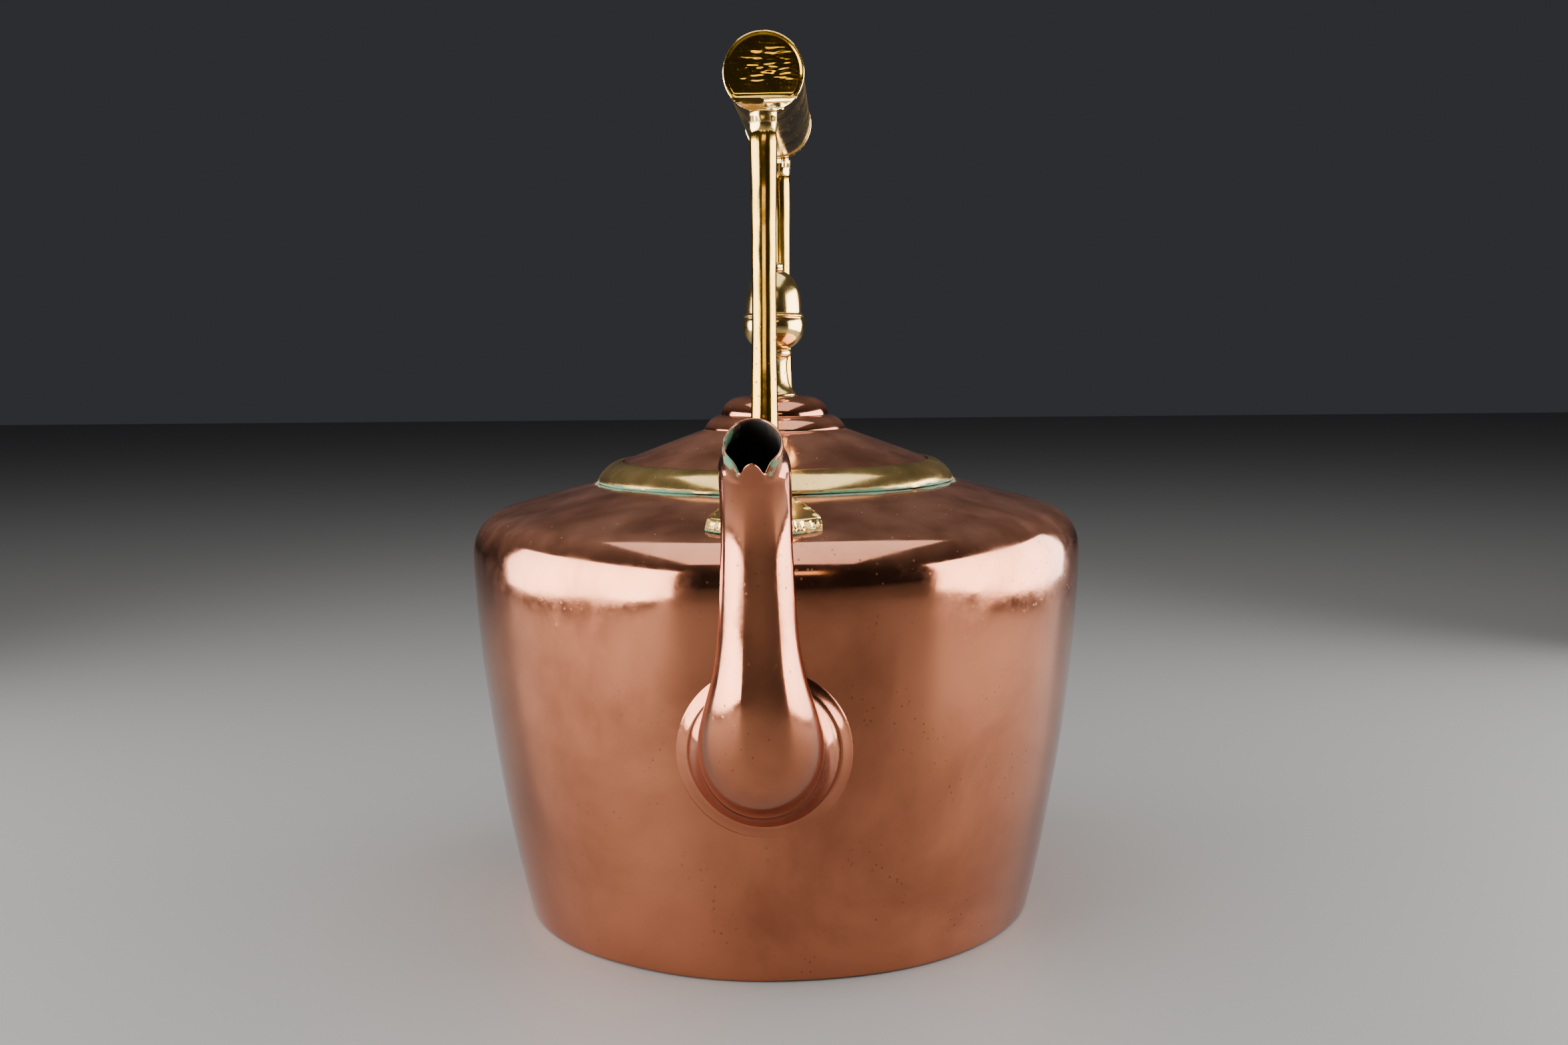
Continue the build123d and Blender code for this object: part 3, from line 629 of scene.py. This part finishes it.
def makeSpout():
    s = spoutShape
    stations = [(spoutCentre(out, up), math.radians(lean), wide * mm, deep * mm)
                for out, up, lean, wide, deep in s["rows"]]
    spout = tubeAlong("spoutTube", s["sides"], stations)
    for ring, station in enumerate(stations):
        shapeSpoutRing(spout.data, ring, station)
    outwardFaces(spout)
    turnOpenTube(spout, stations[s["levelRing"]][0])
    spout.data.materials.append(copper)
    spout.data.materials.append(tin)
    addModifier(spout, "SOLIDIFY", thickness=s["sheet"], offset=-1.0, material_offset=1,
                use_even_offset=True)
    smoothPiece(spout, 2)
    softRipple(spout, s["waveSize"], s["waveDepth"], 2)
    mouth, lean = stations[-1][:2]
    rimAhead = Vector((0, -math.cos(lean), math.sin(lean)))
    rootPlace = spoutCentre(0, 0).y

    def howMuch(point):
        # patches inside the mouth, a seam on one side of the root, and painted shade: brown darkening of
        # the valley between the root's flare and the bulb
        arm = point - mouth
        rim = arm.dot(rimAhead)
        inward = (arm - rimAhead * rim).length
        patch = 0.0
        if rim > -9.0 * mm and inward < 10.1 * mm and abs(point.x) > 4.0 * mm:
            patch = (0.9 if point.x < 0 else 0.75) * fade(rim + 2.5 * mm, 6.5 * mm)
            patch *= step(inward, 6.0 * mm, 8.0 * mm)
            patch *= 0.8 + 0.5 * noise.noise(point / (3.0 * mm))
        out = point.y - rootPlace
        seam = 0.6 * fade(out + 2.3 * mm, 1.2 * mm) * upperRight(point)
        # painted shade: darkens the valley 2 to 11 mm out from the wall, fading out towards the root's top
        valleyShade = 0.34 * fade(out + 6.5 * mm, 4.5 * mm) * step(110.0 * mm - point.z, 0.0, 20.0 * mm)
        return max(patch, valleyShade, seam)
    markCrevice(spout, howMuch)
    finishPiece(spout, "kettle", [], "copper", "spout")


def upperRight(point):
    # the side of the spout's root where green salts gather
    return step(point.x, 5 * mm, 15 * mm) * step(point.z, 75 * mm, 85 * mm)


saddleShape = {
    # distance from the root's axis, height above the wall
    "profile": [(23.4, -0.5), (23.6, 1.2), (24.2, 1.75), (24.7, 1.8), (25.3, 1.6), (26.1, 1.1), (27.0, 0.6),
                (27.8, 0.25), (28.6, 0.02), (29.2, -0.35)],
    "sides": 96, "sheet": 0.6 * mm, "waveSize": 20.0 * mm, "waveDepth": 0.1 * mm,
    "seamRadius": 24.3 * mm, "seamWidth": 0.9 * mm,
}


def makeSpoutCollar():
    # a raised saddle that runs out softly into the wall
    s = saddleShape
    rootHeight = spoutShape["rootHeight"]
    radius, height = s["profile"][0]
    collar = startRing("spoutCollar", radius * mm, height * mm, s["sides"])
    for nextRadius, nextHeight in s["profile"][1:]:
        bpy.ops.mesh.extrude_region_move(
            TRANSFORM_OT_translate={"value": (0, 0, (nextHeight - height) * mm)})
        grow = nextRadius / radius
        bpy.ops.transform.resize(value=(grow, grow, 1), center_override=(0, 0, nextHeight * mm))
        radius, height = nextRadius, nextHeight
    bpy.ops.object.mode_set(mode="OBJECT")
    smoothPiece(collar, 1)
    for vertex in collar.data.vertices:
        # the flat saddle is wrapped round the wall
        x, up, out = vertex.co
        z = rootHeight + up
        wall = wallRadius(z)
        depth = math.sqrt(wall ** 2 - x ** 2)
        vertex.co = Vector((x * (1 + out / wall), -depth - out, z))
    addModifier(collar, "SOLIDIFY", thickness=s["sheet"], offset=-1.0)
    outwardFaces(collar)
    softRipple(collar, s["waveSize"], s["waveDepth"], 3)
    smoothPiece(collar)

    def howMuch(point):
        arm = math.hypot(point.x, point.z - rootHeight)
        return 0.6 * fade(arm - s["seamRadius"], s["seamWidth"]) * upperRight(point)
    markCrevice(collar, howMuch)
    finishPiece(collar, "kettle", [copper], "copper", "spout_collar")


# brass collar round the neck, with its sleeve
collarShape = {
    "outline": [(54.5, 152.6), (55.2, 152.2), (56.0, 152.6), (56.0, 158.0), (56.1, 164.0), (57.0, 164.3),
                (62.0, 163.0), (67.3, 161.5), (68.0, 161.6), (67.9, 162.3), (67.3, 163.6), (66.2, 165.2),
                (64.7, 166.8), (62.6, 168.3), (60.6, 169.2), (59.3, 169.5), (58.6, 169.45), (58.3, 169.2),
                (58.3, 168.4), (58.0, 168.2), (55.0, 168.2), (54.5, 168.0), (54.5, 162.0)],
    "sides": 128, "waveSize": 12.0 * mm, "waveDepth": 0.12 * mm,
    "foot": (68.0 * mm, 161.5 * mm), "footSeam": 2.2 * mm, "lidSeam": 58.6 * mm, "lidSeamWidth": 1.4 * mm,
}


def makeCollar():
    s = collarShape
    outline = [(radius * mm, height * mm) for radius, height in s["outline"]]
    collar = turnPiece("neckCollar", outline + outline[:1], s["sides"])
    softRipple(collar, s["waveSize"], s["waveDepth"], 4)
    footRadius, footHeight = s["foot"]

    def howMuch(point):
        radius = axisRadius(point)
        foot = fade(math.hypot(radius - footRadius, point.z - footHeight), s["footSeam"])
        seat = 0.35 * fade(radius - s["lidSeam"], s["lidSeamWidth"]) if point.z > 168.0 * mm else 0.0
        return max(foot, seat)
    markCrevice(collar, howMuch)
    finishPiece(collar, "kettle", [brass], "brass", "neck_collar")


# lid: a copper cone with two rolled steps
lidShape = {
    "top": [(57.9, 168.5), (58.0, 168.9), (57.7, 169.3), (56.5, 169.9), (52.0, 171.6), (45.0, 174.2),
            (36.0, 177.5), (30.0, 179.75), (27.6, 180.5), (26.9, 180.9), (26.9, 181.3), (26.5, 182.2),
            (25.4, 183.8), (23.6, 185.2), (21.8, 185.9), (20.9, 186.0), (20.5, 186.2), (20.6, 186.6),
            (20.4, 187.8), (19.4, 189.8), (17.4, 191.7), (14.8, 192.9), (12.6, 193.2), (11.6, 193.25),
            (9.0, 193.2), (4.0, 193.15), (2.05, 193.15)],
    "rim": [(53.0, 169.9), (53.2, 168.6), (55.0, 168.4)],
    "sheet": 1.0, "inset": 0.5, "studHole": 2.05, "skirtInside": 52.5, "sides": 112,
    # radius, height, width and strength of each green ring
    "seams": [(27.4, 180.4, 1.2, 0.3), (8.4, 193.2, 1.2, 0.5)],
    "edge": 58.0, "edgeWidth": 1.0, "edgeSalt": 0.35, "tinned": 53.0,
    "waveSize": 30.0 * mm, "waveDepth": 0.14 * mm,
}


def makeLid():
    s = lidShape
    under = [(max(s["studHole"], radius - s["inset"]), height - s["sheet"])
             for radius, height in s["top"][2:]]
    lowered = [point for point in reversed(under) if point[0] < s["skirtInside"]]
    outline = s["top"] + lowered + s["rim"] + s["top"][:1]
    lid = turnPiece("lidDome", [(radius * mm, height * mm) for radius, height in outline], s["sides"])
    softRipple(lid, s["waveSize"], s["waveDepth"], 5)

    def howMuch(point):
        marks = [s["edgeSalt"] * fade(axisRadius(point) - s["edge"] * mm, s["edgeWidth"] * mm)]
        for radius, height, width, salt in s["seams"]:
            away = math.hypot(axisRadius(point) - radius * mm, point.z - height * mm)
            marks.append(salt * fade(away, width * mm))
        return max(marks)
    markCrevice(lid, howMuch)
    finishPiece(lid, "lid", [copper, tin], "copper", "lid_dome")
    for face in lid.data.polygons:
        if face.normal.z < -0.2 and axisRadius(face.center) < s["tinned"] * mm:
            face.material_index = 1    # the underside


# finial: foot, waist and ring, cup, acorn and button, turned one by one
finialShape = {
    # radius, height above the part's own foot
    "stem": [(8.0, 0.0), (8.25, 0.4), (8.2, 1.1), (7.4, 1.8), (6.5, 2.9), (5.7, 4.8), (5.1, 7.6),
             (4.85, 10.6), (4.95, 13.2), (5.35, 14.7), (5.45, 15.0), (6.2, 15.2), (6.65, 15.9), (6.7, 16.9),
             (6.4, 17.6), (6.0, 17.9), (5.9, 18.2)],
    "cup": [(5.4, 0.0), (6.2, 0.1), (8.5, 1.4), (10.4, 3.6), (11.55, 6.1), (11.95, 8.4), (11.8, 10.3),
            (11.35, 11.4), (11.3, 11.7), (11.6, 12.0), (11.75, 12.35), (11.6, 12.7), (11.2, 12.8),
            (10.7, 12.7)],
    "acorn": [(10.4, 0.0), (10.55, 0.4), (10.6, 2.2), (10.45, 5.2), (10.0, 8.4), (9.1, 11.2), (7.6, 13.6),
              (5.8, 15.3), (4.5, 16.0), (3.9, 16.15)],
    "tip": [(3.3, 0.0), (3.6, 0.1), (3.95, 0.5), (4.0, 1.0), (3.8, 1.4), (3.8, 1.7), (3.95, 2.2),
            (3.8, 2.8), (3.1, 3.2), (1.8, 3.4)],
    "seams": {"stem": 8.3, "cup": 6.2, "acorn": 10.8, "tip": 3.9},
    "sides": 48, "seamWidth": 0.9 * mm, "waveSize": 8.0 * mm, "waveDepth": 0.05 * mm, "firstSeed": 6,
}


def makeFinial():
    s = finialShape
    for seed, part in enumerate(("stem", "cup", "acorn", "tip"), s["firstSeed"]):
        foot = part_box("finial_" + part)[0].z
        outline = [(radius * mm, foot + height * mm) for radius, height in s[part]]
        piece = turnPiece("finial" + part.capitalize(), outline, s["sides"], filled=True)
        softRipple(piece, s["waveSize"], s["waveDepth"], seed)
        seam = s["seams"][part] * mm
        markCrevice(piece, lambda point: 0.6 * fade(
            math.hypot(axisRadius(point) - seam, point.z - foot), s["seamWidth"]))
        finishPiece(piece, "lid", [brass], "brass", "finial_" + part)


# handle: two bent uprights that swell at their ends
gripRadius = 13.3 * mm
handleShape = {
    "footPlace": 86.0 * mm, "gripHeight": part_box("grip_tube")[1][2] - gripRadius,
    "gripHalf": 65.0 * mm, "strutFoot": 5.2 * mm, "strutWaist": 4.2 * mm, "strutTop": 4.9 * mm,
    "neckOut": 4.6 * mm, "neckDrop": 17.3 * mm, "steps": 14, "sides": 24, "plate": 2.6 * mm,
    # height above the plate and radius of the flared foot
    "flare": [(0.0, 9.0 * mm), (2.2 * mm, 6.6 * mm)], "flareTop": 4.8 * mm, "flareSwell": 1.04,
    "waveSize": 12.0 * mm, "waveDepth": 0.16 * mm, "topSeam": 1.0 * mm,
    "footSeam": 3.0 * mm, "footSeamUp": 2.5 * mm, "seeds": {"front": 13, "rear": 11},
}


def strutStations(footHeight, topHeight):
    s = handleShape
    footY, topY = -s["footPlace"], -s["gripHalf"] - s["neckOut"]
    upright = math.radians(90)
    stations = []
    for index in range(s["steps"] + 1):
        t = index / s["steps"]
        y = footY + (topY - footY) * (t * t * (3 - 2 * t))
        z = footHeight + (topHeight - footHeight) * t
        slope = (topY - footY) * 6 * t * (1 - t) / (topHeight - footHeight)
        ends = s["strutFoot"] + (s["strutTop"] - s["strutFoot"]) * t
        radius = ends - 4 * t * (1 - t) * ((s["strutFoot"] + s["strutTop"]) / 2 - s["strutWaist"])
        if index == 0:
            for up, wide in s["flare"]:
                stations.append((Vector((0, y, z + up)), upright, wide, wide))
            wide = radius * s["flareSwell"]
            stations.append((Vector((0, y, z + s["flareTop"])), upright, wide, wide))
        else:
            stations.append((Vector((0, y, z)), upright + math.atan(slope), radius, radius))
    return stations


def closeTube(tube, sides):
    # the first and last rings are filled
    count = len(tube.data.vertices)
    editAll(tube)
    bpy.ops.mesh.select_all(action="DESELECT")
    bpy.ops.object.mode_set(mode="OBJECT")
    for index, vertex in enumerate(tube.data.vertices):
        vertex.select = index < sides or index >= count - sides
    bpy.ops.object.mode_set(mode="EDIT")
    bpy.ops.mesh.fill_holes(sides=0)
    bpy.ops.object.mode_set(mode="OBJECT")


def makeStruts():
    s = handleShape
    footHeight = shoulderHeight(s["footPlace"]) + s["plate"]
    topHeight = s["gripHeight"] - s["neckDrop"]
    stations = strutStations(footHeight, topHeight)

    def howMuch(point):
        top = 0.5 * fade(point.z - topHeight, s["topSeam"])
        return max(top, 0.4 * fade(point.z - footHeight - s["footSeamUp"], s["footSeam"]))
    for end in ("front", "rear"):
        strut = tubeAlong("strut" + end.capitalize(), s["sides"], stations)
        closeTube(strut, s["sides"])
        if end == "rear":
            for vertex in strut.data.vertices:
                vertex.co.y = -vertex.co.y
        outwardFaces(strut)
        smoothPiece(strut, 2)
        softRipple(strut, s["waveSize"], s["waveDepth"], s["seeds"][end])
        markCrevice(strut, howMuch)
        finishPiece(strut, "kettle", [amberBrass], "brass", "strut_" + end)


def copyNode(node, name):
    # a copy of a CAD node with its own mesh, its loose triangles merged
    piece = bpy.data.objects.new(name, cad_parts[node].data.copy())
    piece.data.name = name
    piece.data.materials.clear()
    bpy.context.scene.collection.objects.link(piece)
    editAll(piece)
    bpy.ops.mesh.remove_doubles(threshold=mergeDistance)
    bpy.ops.object.mode_set(mode="OBJECT")
    return piece


def evenMesh(piece, voxel, smoothing):
    # an even fine mesh that takes small marks
    deselectAll()
    piece.select_set(True)
    bpy.context.view_layer.objects.active = piece
    piece.data.remesh_voxel_size = voxel
    bpy.ops.object.voxel_remesh()
    addModifier(piece, "SMOOTH", factor=0.5, iterations=smoothing)


def mirrorToRear(piece, name):
    # the rear one is a mirrored copy with its own mesh
    rear = bpy.data.objects.new(name, piece.data.copy())
    rear.data.name = name
    bpy.context.scene.collection.objects.link(rear)
    for vertex in rear.data.vertices:
        vertex.co.y = -vertex.co.y
    editAll(rear)
    bpy.ops.mesh.normals_make_consistent(inside=False)
    bpy.ops.object.mode_set(mode="OBJECT")
    smoothPiece(rear)
    return rear


# end pieces of the grip: a dished face with hammer ripples and a thin rim
gripEndShape = {
    "voxel": 0.36 * mm, "smoothing": 9, "radius": 13.8 * mm, "rim": 0.6 * mm, "dish": 0.7 * mm,
    "ripple": 0.19 * mm, "rippleWide": 5.0 * mm, "rippleHigh": 0.8 * mm, "coveTop": 8.2 * mm,
    # the ripples' patch: its middle and half its width and height
    "patch": (1.5 * mm, 3.0 * mm), "patchHalf": (8.0 * mm, 6.0 * mm),
    "dome": 4.9 * mm, "domeTop": 13.4 * mm, "coveWave": 0.28 * mm, "coveWaveSize": 2.6 * mm,
    "hollowOut": 2.6 * mm, "hollowDown": 1.2 * mm, "hollow": 1.9 * mm, "hollowDepth": 0.7 * mm,
    "hollowShade": 2.4 * mm, "seamWidth": 0.8 * mm, "waveSize": 7.0 * mm, "waveDepth": 0.09 * mm,
}


def shapeGripFace(piece):
    # the face is dished and rippled, its curved foot beaten and its dome hollowed
    s, h = gripEndShape, handleShape
    face = -h["gripHalf"]
    normals = [vertex.normal.copy() for vertex in piece.data.vertices]
    for vertex, normal in zip(piece.data.vertices, normals):
        x, y, z = vertex.co.x, vertex.co.y, vertex.co.z - h["gripHeight"]
        edge = s["radius"] - math.hypot(x, z)
        onFace = step(-y, -face - 1.2 * mm, -face - 0.5 * mm)
        onFace *= step(z, -s["coveTop"] - 1.0 * mm, -s["coveTop"] + 1.5 * mm)
        inside = step(edge, s["rim"], s["rim"] + 1.0 * mm) * onFace
        wave = noise.noise(Vector((x / s["rippleWide"], z / s["rippleHigh"], 4.0)))
        wave += 0.5 * noise.noise(Vector((x / s["rippleWide"] * 2.2, z / s["rippleHigh"] * 1.9, 9.0)))
        across = (x - s["patch"][0]) / s["patchHalf"][0]
        upward = (z - s["patch"][1]) / s["patchHalf"][1]
        beaten = math.exp(-across ** 4 - upward ** 4) + 0.05
        dish = s["dish"] * (1.0 - 0.4 * (math.hypot(x, z) / s["radius"]) ** 2)
        vertex.co.y += inside * (dish + wave * s["ripple"] * beaten)
        cove = step(-z, s["coveTop"], s["coveTop"] + 2.0 * mm)
        cove *= step(-y, -face - 0.5 * mm, -face + 1.0 * mm)
        vertex.co += normal * cove * s["coveWave"] * noise.noise(vertex.co / s["coveWaveSize"])
        down = s["domeTop"] + s["hollowDown"]
        away = Vector((x, y - face + h["neckOut"] + s["hollowOut"], z + down)).length
        vertex.co += Vector((0, 0.7, -0.7)) * s["hollowDepth"] * step(s["hollow"] - away, 0.0, 1.5 * mm)


def makeGripEnds():
    s, h = gripEndShape, handleShape
    axis = h["gripHeight"]
    face = -h["gripHalf"]
    end = copyNode("grip_end_front", "gripEndFront")
    deselectAll()
    bpy.ops.mesh.primitive_uv_sphere_add(segments=32, ring_count=20, radius=s["dome"], location=(
        0, face - h["neckOut"], axis - s["domeTop"] - s["dome"]))
    end.select_set(True)
    bpy.context.view_layer.objects.active = end
    bpy.ops.object.join()
    evenMesh(end, s["voxel"], s["smoothing"])
    shapeGripFace(end)
    softRipple(end, s["waveSize"], s["waveDepth"], 21)
    seam = axis - h["neckDrop"]
    hollow = Vector((0, face - h["neckOut"] - s["hollowOut"], axis - s["domeTop"] - s["hollowDown"]))

    def howMuch(point):
        # a green seam line, and painted shade: brown darkening round the hollow, with a few green salts
        return max(0.5 * fade(point.z - seam, s["seamWidth"]),
                   0.4 * fade((point - hollow).length, s["hollowShade"]))
    markCrevice(end, howMuch)
    smoothPiece(end)
    end.data.materials.append(brass)
    end.data.materials.append(shadedFaceBrass)
    for polygon in end.data.polygons:
        x, y, z = polygon.center.x, polygon.center.y, polygon.center.z - axis
        withinRim = math.hypot(x, z) < s["radius"] - s["rim"] and z > -s["coveTop"]
        if withinRim and polygon.normal.y < -0.4 and y < face + 2 * mm:
            polygon.material_index = 1    # the face, painted darker as shade
    rear = mirrorToRear(end, "gripEndRear")
    for piece, node in ((end, "grip_end_front"), (rear, "grip_end_rear")):
        finishPiece(piece, "kettle", [], "brass", node)


# foot plates: shields with a broad filed edge on the outer side
footShape = {
    "voxel": 0.36 * mm, "smoothing": 3, "thickness": 3.4 * mm, "toeCentre": 70.0 * mm,
    "toeRadius": 33.6 * mm, "halfWidth": 19.3 * mm, "filedWidth": 2.6 * mm, "filedLeft": 1.1 * mm,
    "ribPitch": 0.9 * mm, "ribDepth": 0.18 * mm, "ribStart": 4.0 * mm, "ribFull": 8.0 * mm,
    "faintRib": 0.35, "crown": 0.6 * mm, "waveSize": 12.0 * mm, "waveDepth": 0.12 * mm,
}


def toeEdge(point):
    # how far a point lies inside the rounded toe
    s = footShape
    return s["toeRadius"] - math.hypot(point.x, point.y + s["toeCentre"])


def makeFootPlates():
    s = footShape
    plate = copyNode("foot_plate_front", "footPlateFront")
    evenMesh(plate, s["voxel"], s["smoothing"])
    up = Vector((0, -math.sin(bodyShape["slope"]), math.cos(bodyShape["slope"])))
    for vertex in plate.data.vertices:
        x, y = vertex.co.x, vertex.co.y
        above = step(vertex.co.z - shoulderHeight(axisRadius(vertex.co)), 0.8 * mm, 2.6 * mm)
        filed = step(s["filedWidth"] - toeEdge(vertex.co), 0.0, s["filedWidth"])
        around = math.atan2(x, -y - s["toeCentre"]) * s["toeRadius"]
        rib = math.sin(around / s["ribPitch"] * math.tau) * filed
        rib *= s["faintRib"] + step(around, s["ribStart"], s["ribFull"])
        spread = 1.0 - min(1.0, abs(x) / s["halfWidth"]) ** 2
        cut = filed * (s["thickness"] - s["filedLeft"])
        vertex.co += up * above * (spread * s["crown"] - cut + rib * s["ribDepth"])
    softRipple(plate, s["waveSize"], s["waveDepth"], 23)

    def howMuch(point):
        top = point.z - shoulderHeight(axisRadius(point))
        edge = 0.7 * step(1.3 * mm - top, 0.0, 1.0 * mm)
        corner = 0.5 * step(abs(point.x) - 15.0 * mm, 0.0, 4.0 * mm)
        return max(edge, corner * step(3.0 * mm - toeEdge(point), 0, 2 * mm))
    markCrevice(plate, howMuch)
    smoothPiece(plate)
    plate.data.materials.append(brass)
    rear = mirrorToRear(plate, "footPlateRear")
    for piece, node in ((plate, "foot_plate_front"), (rear, "foot_plate_rear")):
        finishPiece(piece, "kettle", [], "brass", node)


makeBody()
makeSpout()
makeSpoutCollar()
print("body and spout made")
makeCollar()
makeLid()
makeFinial()
print("lid made")
makeStruts()
makeGripEnds()
makeFootPlates()
print("handle made")

nodeMaterials = {
    "base_plate": copper, "grip_tube": brass, "foot_rivets_front": copper, "foot_rivets_rear": copper,
    "lid_skirt": tin, "finial_stud": brass, "lid_washer": brass, "lid_nut": brass,
}


def paintNodes():
    for node, material in nodeMaterials.items():
        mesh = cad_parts[node].data
        mesh.materials.clear()
        mesh.materials.append(material)


paintNodes()


# stage: pale floor, soft boxes and the camera
stageShape = {
    "distance": 613.6 * mm, "height": 212.8 * mm, "swing": math.radians(2.37), "pitch": 0.1109,
    "aim": 0.005, "roll": -0.0104, "lens": 36.72, "sensor": 36.0, "clip": 10.0 * mm,
    "floorSize": 8.0, "floorDrop": 0.4 * mm, "floorColour": (0.22, 0.217, 0.213, 1), "floorRough": 0.55,
}


def makeCamera():
    s = stageShape
    camera = bpy.data.cameras.new("camera")
    holder = bpy.data.objects.new("camera", camera)
    bpy.context.scene.collection.objects.link(holder)
    camera.lens = s["lens"]
    camera.sensor_width = s["sensor"]
    camera.clip_start = s["clip"]
    turn = Matrix.Rotation(s["swing"], 3, "Z")
    ahead = Vector((0, math.cos(s["pitch"]), -math.sin(s["pitch"])))
    right = Vector((1, 0, 0))
    ahead, right = (ahead * math.cos(s["aim"]) + right * math.sin(s["aim"]),
                    right * math.cos(s["aim"]) - ahead * math.sin(s["aim"]))
    up = right.cross(ahead)
    right, up = (right * math.cos(s["roll"]) + up * math.sin(s["roll"]),
                 up * math.cos(s["roll"]) - right * math.sin(s["roll"]))
    place = turn @ Vector((0, -s["distance"], s["height"]))
    axes = Matrix((turn @ right, turn @ up, turn @ -ahead)).transposed().to_4x4()
    holder.matrix_world = Matrix.Translation(place) @ axes
    bpy.context.scene.camera = holder


def makeFloor():
    s = stageShape
    deselectAll()
    bpy.ops.mesh.primitive_plane_add(size=s["floorSize"], location=(0, 0, -s["floorDrop"]))
    floor = bpy.context.object
    floor.name = "floor"
    material = bpy.data.materials.new("paleFloor")
    material.use_nodes = True
    shader = material.node_tree.nodes["Principled BSDF"]
    shader.inputs["Base Color"].default_value = s["floorColour"]
    shader.inputs["Roughness"].default_value = s["floorRough"]
    floor.data.materials.append(material)


def softBox(name, place, target, size, power, colour=(1, 1, 1), spread=math.pi):
    light = bpy.data.lights.new(name, "AREA")
    light.shape = "RECTANGLE"
    light.size, light.size_y = size
    light.energy = power
    light.spread = spread
    light.color = colour
    holder = bpy.data.objects.new(name, light)
    bpy.context.scene.collection.objects.link(holder)
    holder.visible_camera = False
    holder.location = place
    holder.rotation_euler = (Vector(target) - Vector(place)).to_track_quat("-Z", "Y").to_euler()


lightShape = {
    "left": {"turn": -70, "height": 0.24, "away": 0.62, "width": 0.95, "tall": 0.44, "power": 10.5},
    "right": {"turn": 93, "height": 0.24, "away": 0.62, "width": 0.86, "tall": 0.44, "power": 8.8},
    "front": {"turn": 3, "height": 0.95, "away": 1.7, "width": 0.9, "tall": 0.30, "power": 2.0},
    "top": {"forward": 0.4, "height": 1.7, "size": 2.0, "power": 34.0},
    "world": (0.032, 0.033, 0.037, 1), "warm": (1.0, 0.80, 0.42), "spread": math.radians(135),
}


def makeLight():
    s = lightShape
    world = bpy.data.worlds.new("studio")
    bpy.context.scene.world = world
    world.use_nodes = True
    world.node_tree.nodes["Background"].inputs[0].default_value = s["world"]
    top = s["top"]
    softBox("topBox", (0, -top["forward"], top["height"]), (0, -top["forward"], 0),
            (top["size"], top["size"]), top["power"])
    for name in ("left", "right", "front"):
        box = s[name]
        turn = math.radians(box["turn"])
        place = (math.sin(turn) * box["away"], -math.cos(turn) * box["away"], box["height"])
        colour = s["warm"] if name == "front" else (1, 1, 1)
        softBox(name + "Box", place, (0, 0, box["height"]), (box["width"], box["tall"]), box["power"],
                colour, s["spread"])


makeCamera()
makeFloor()
makeLight()
print("stage made")
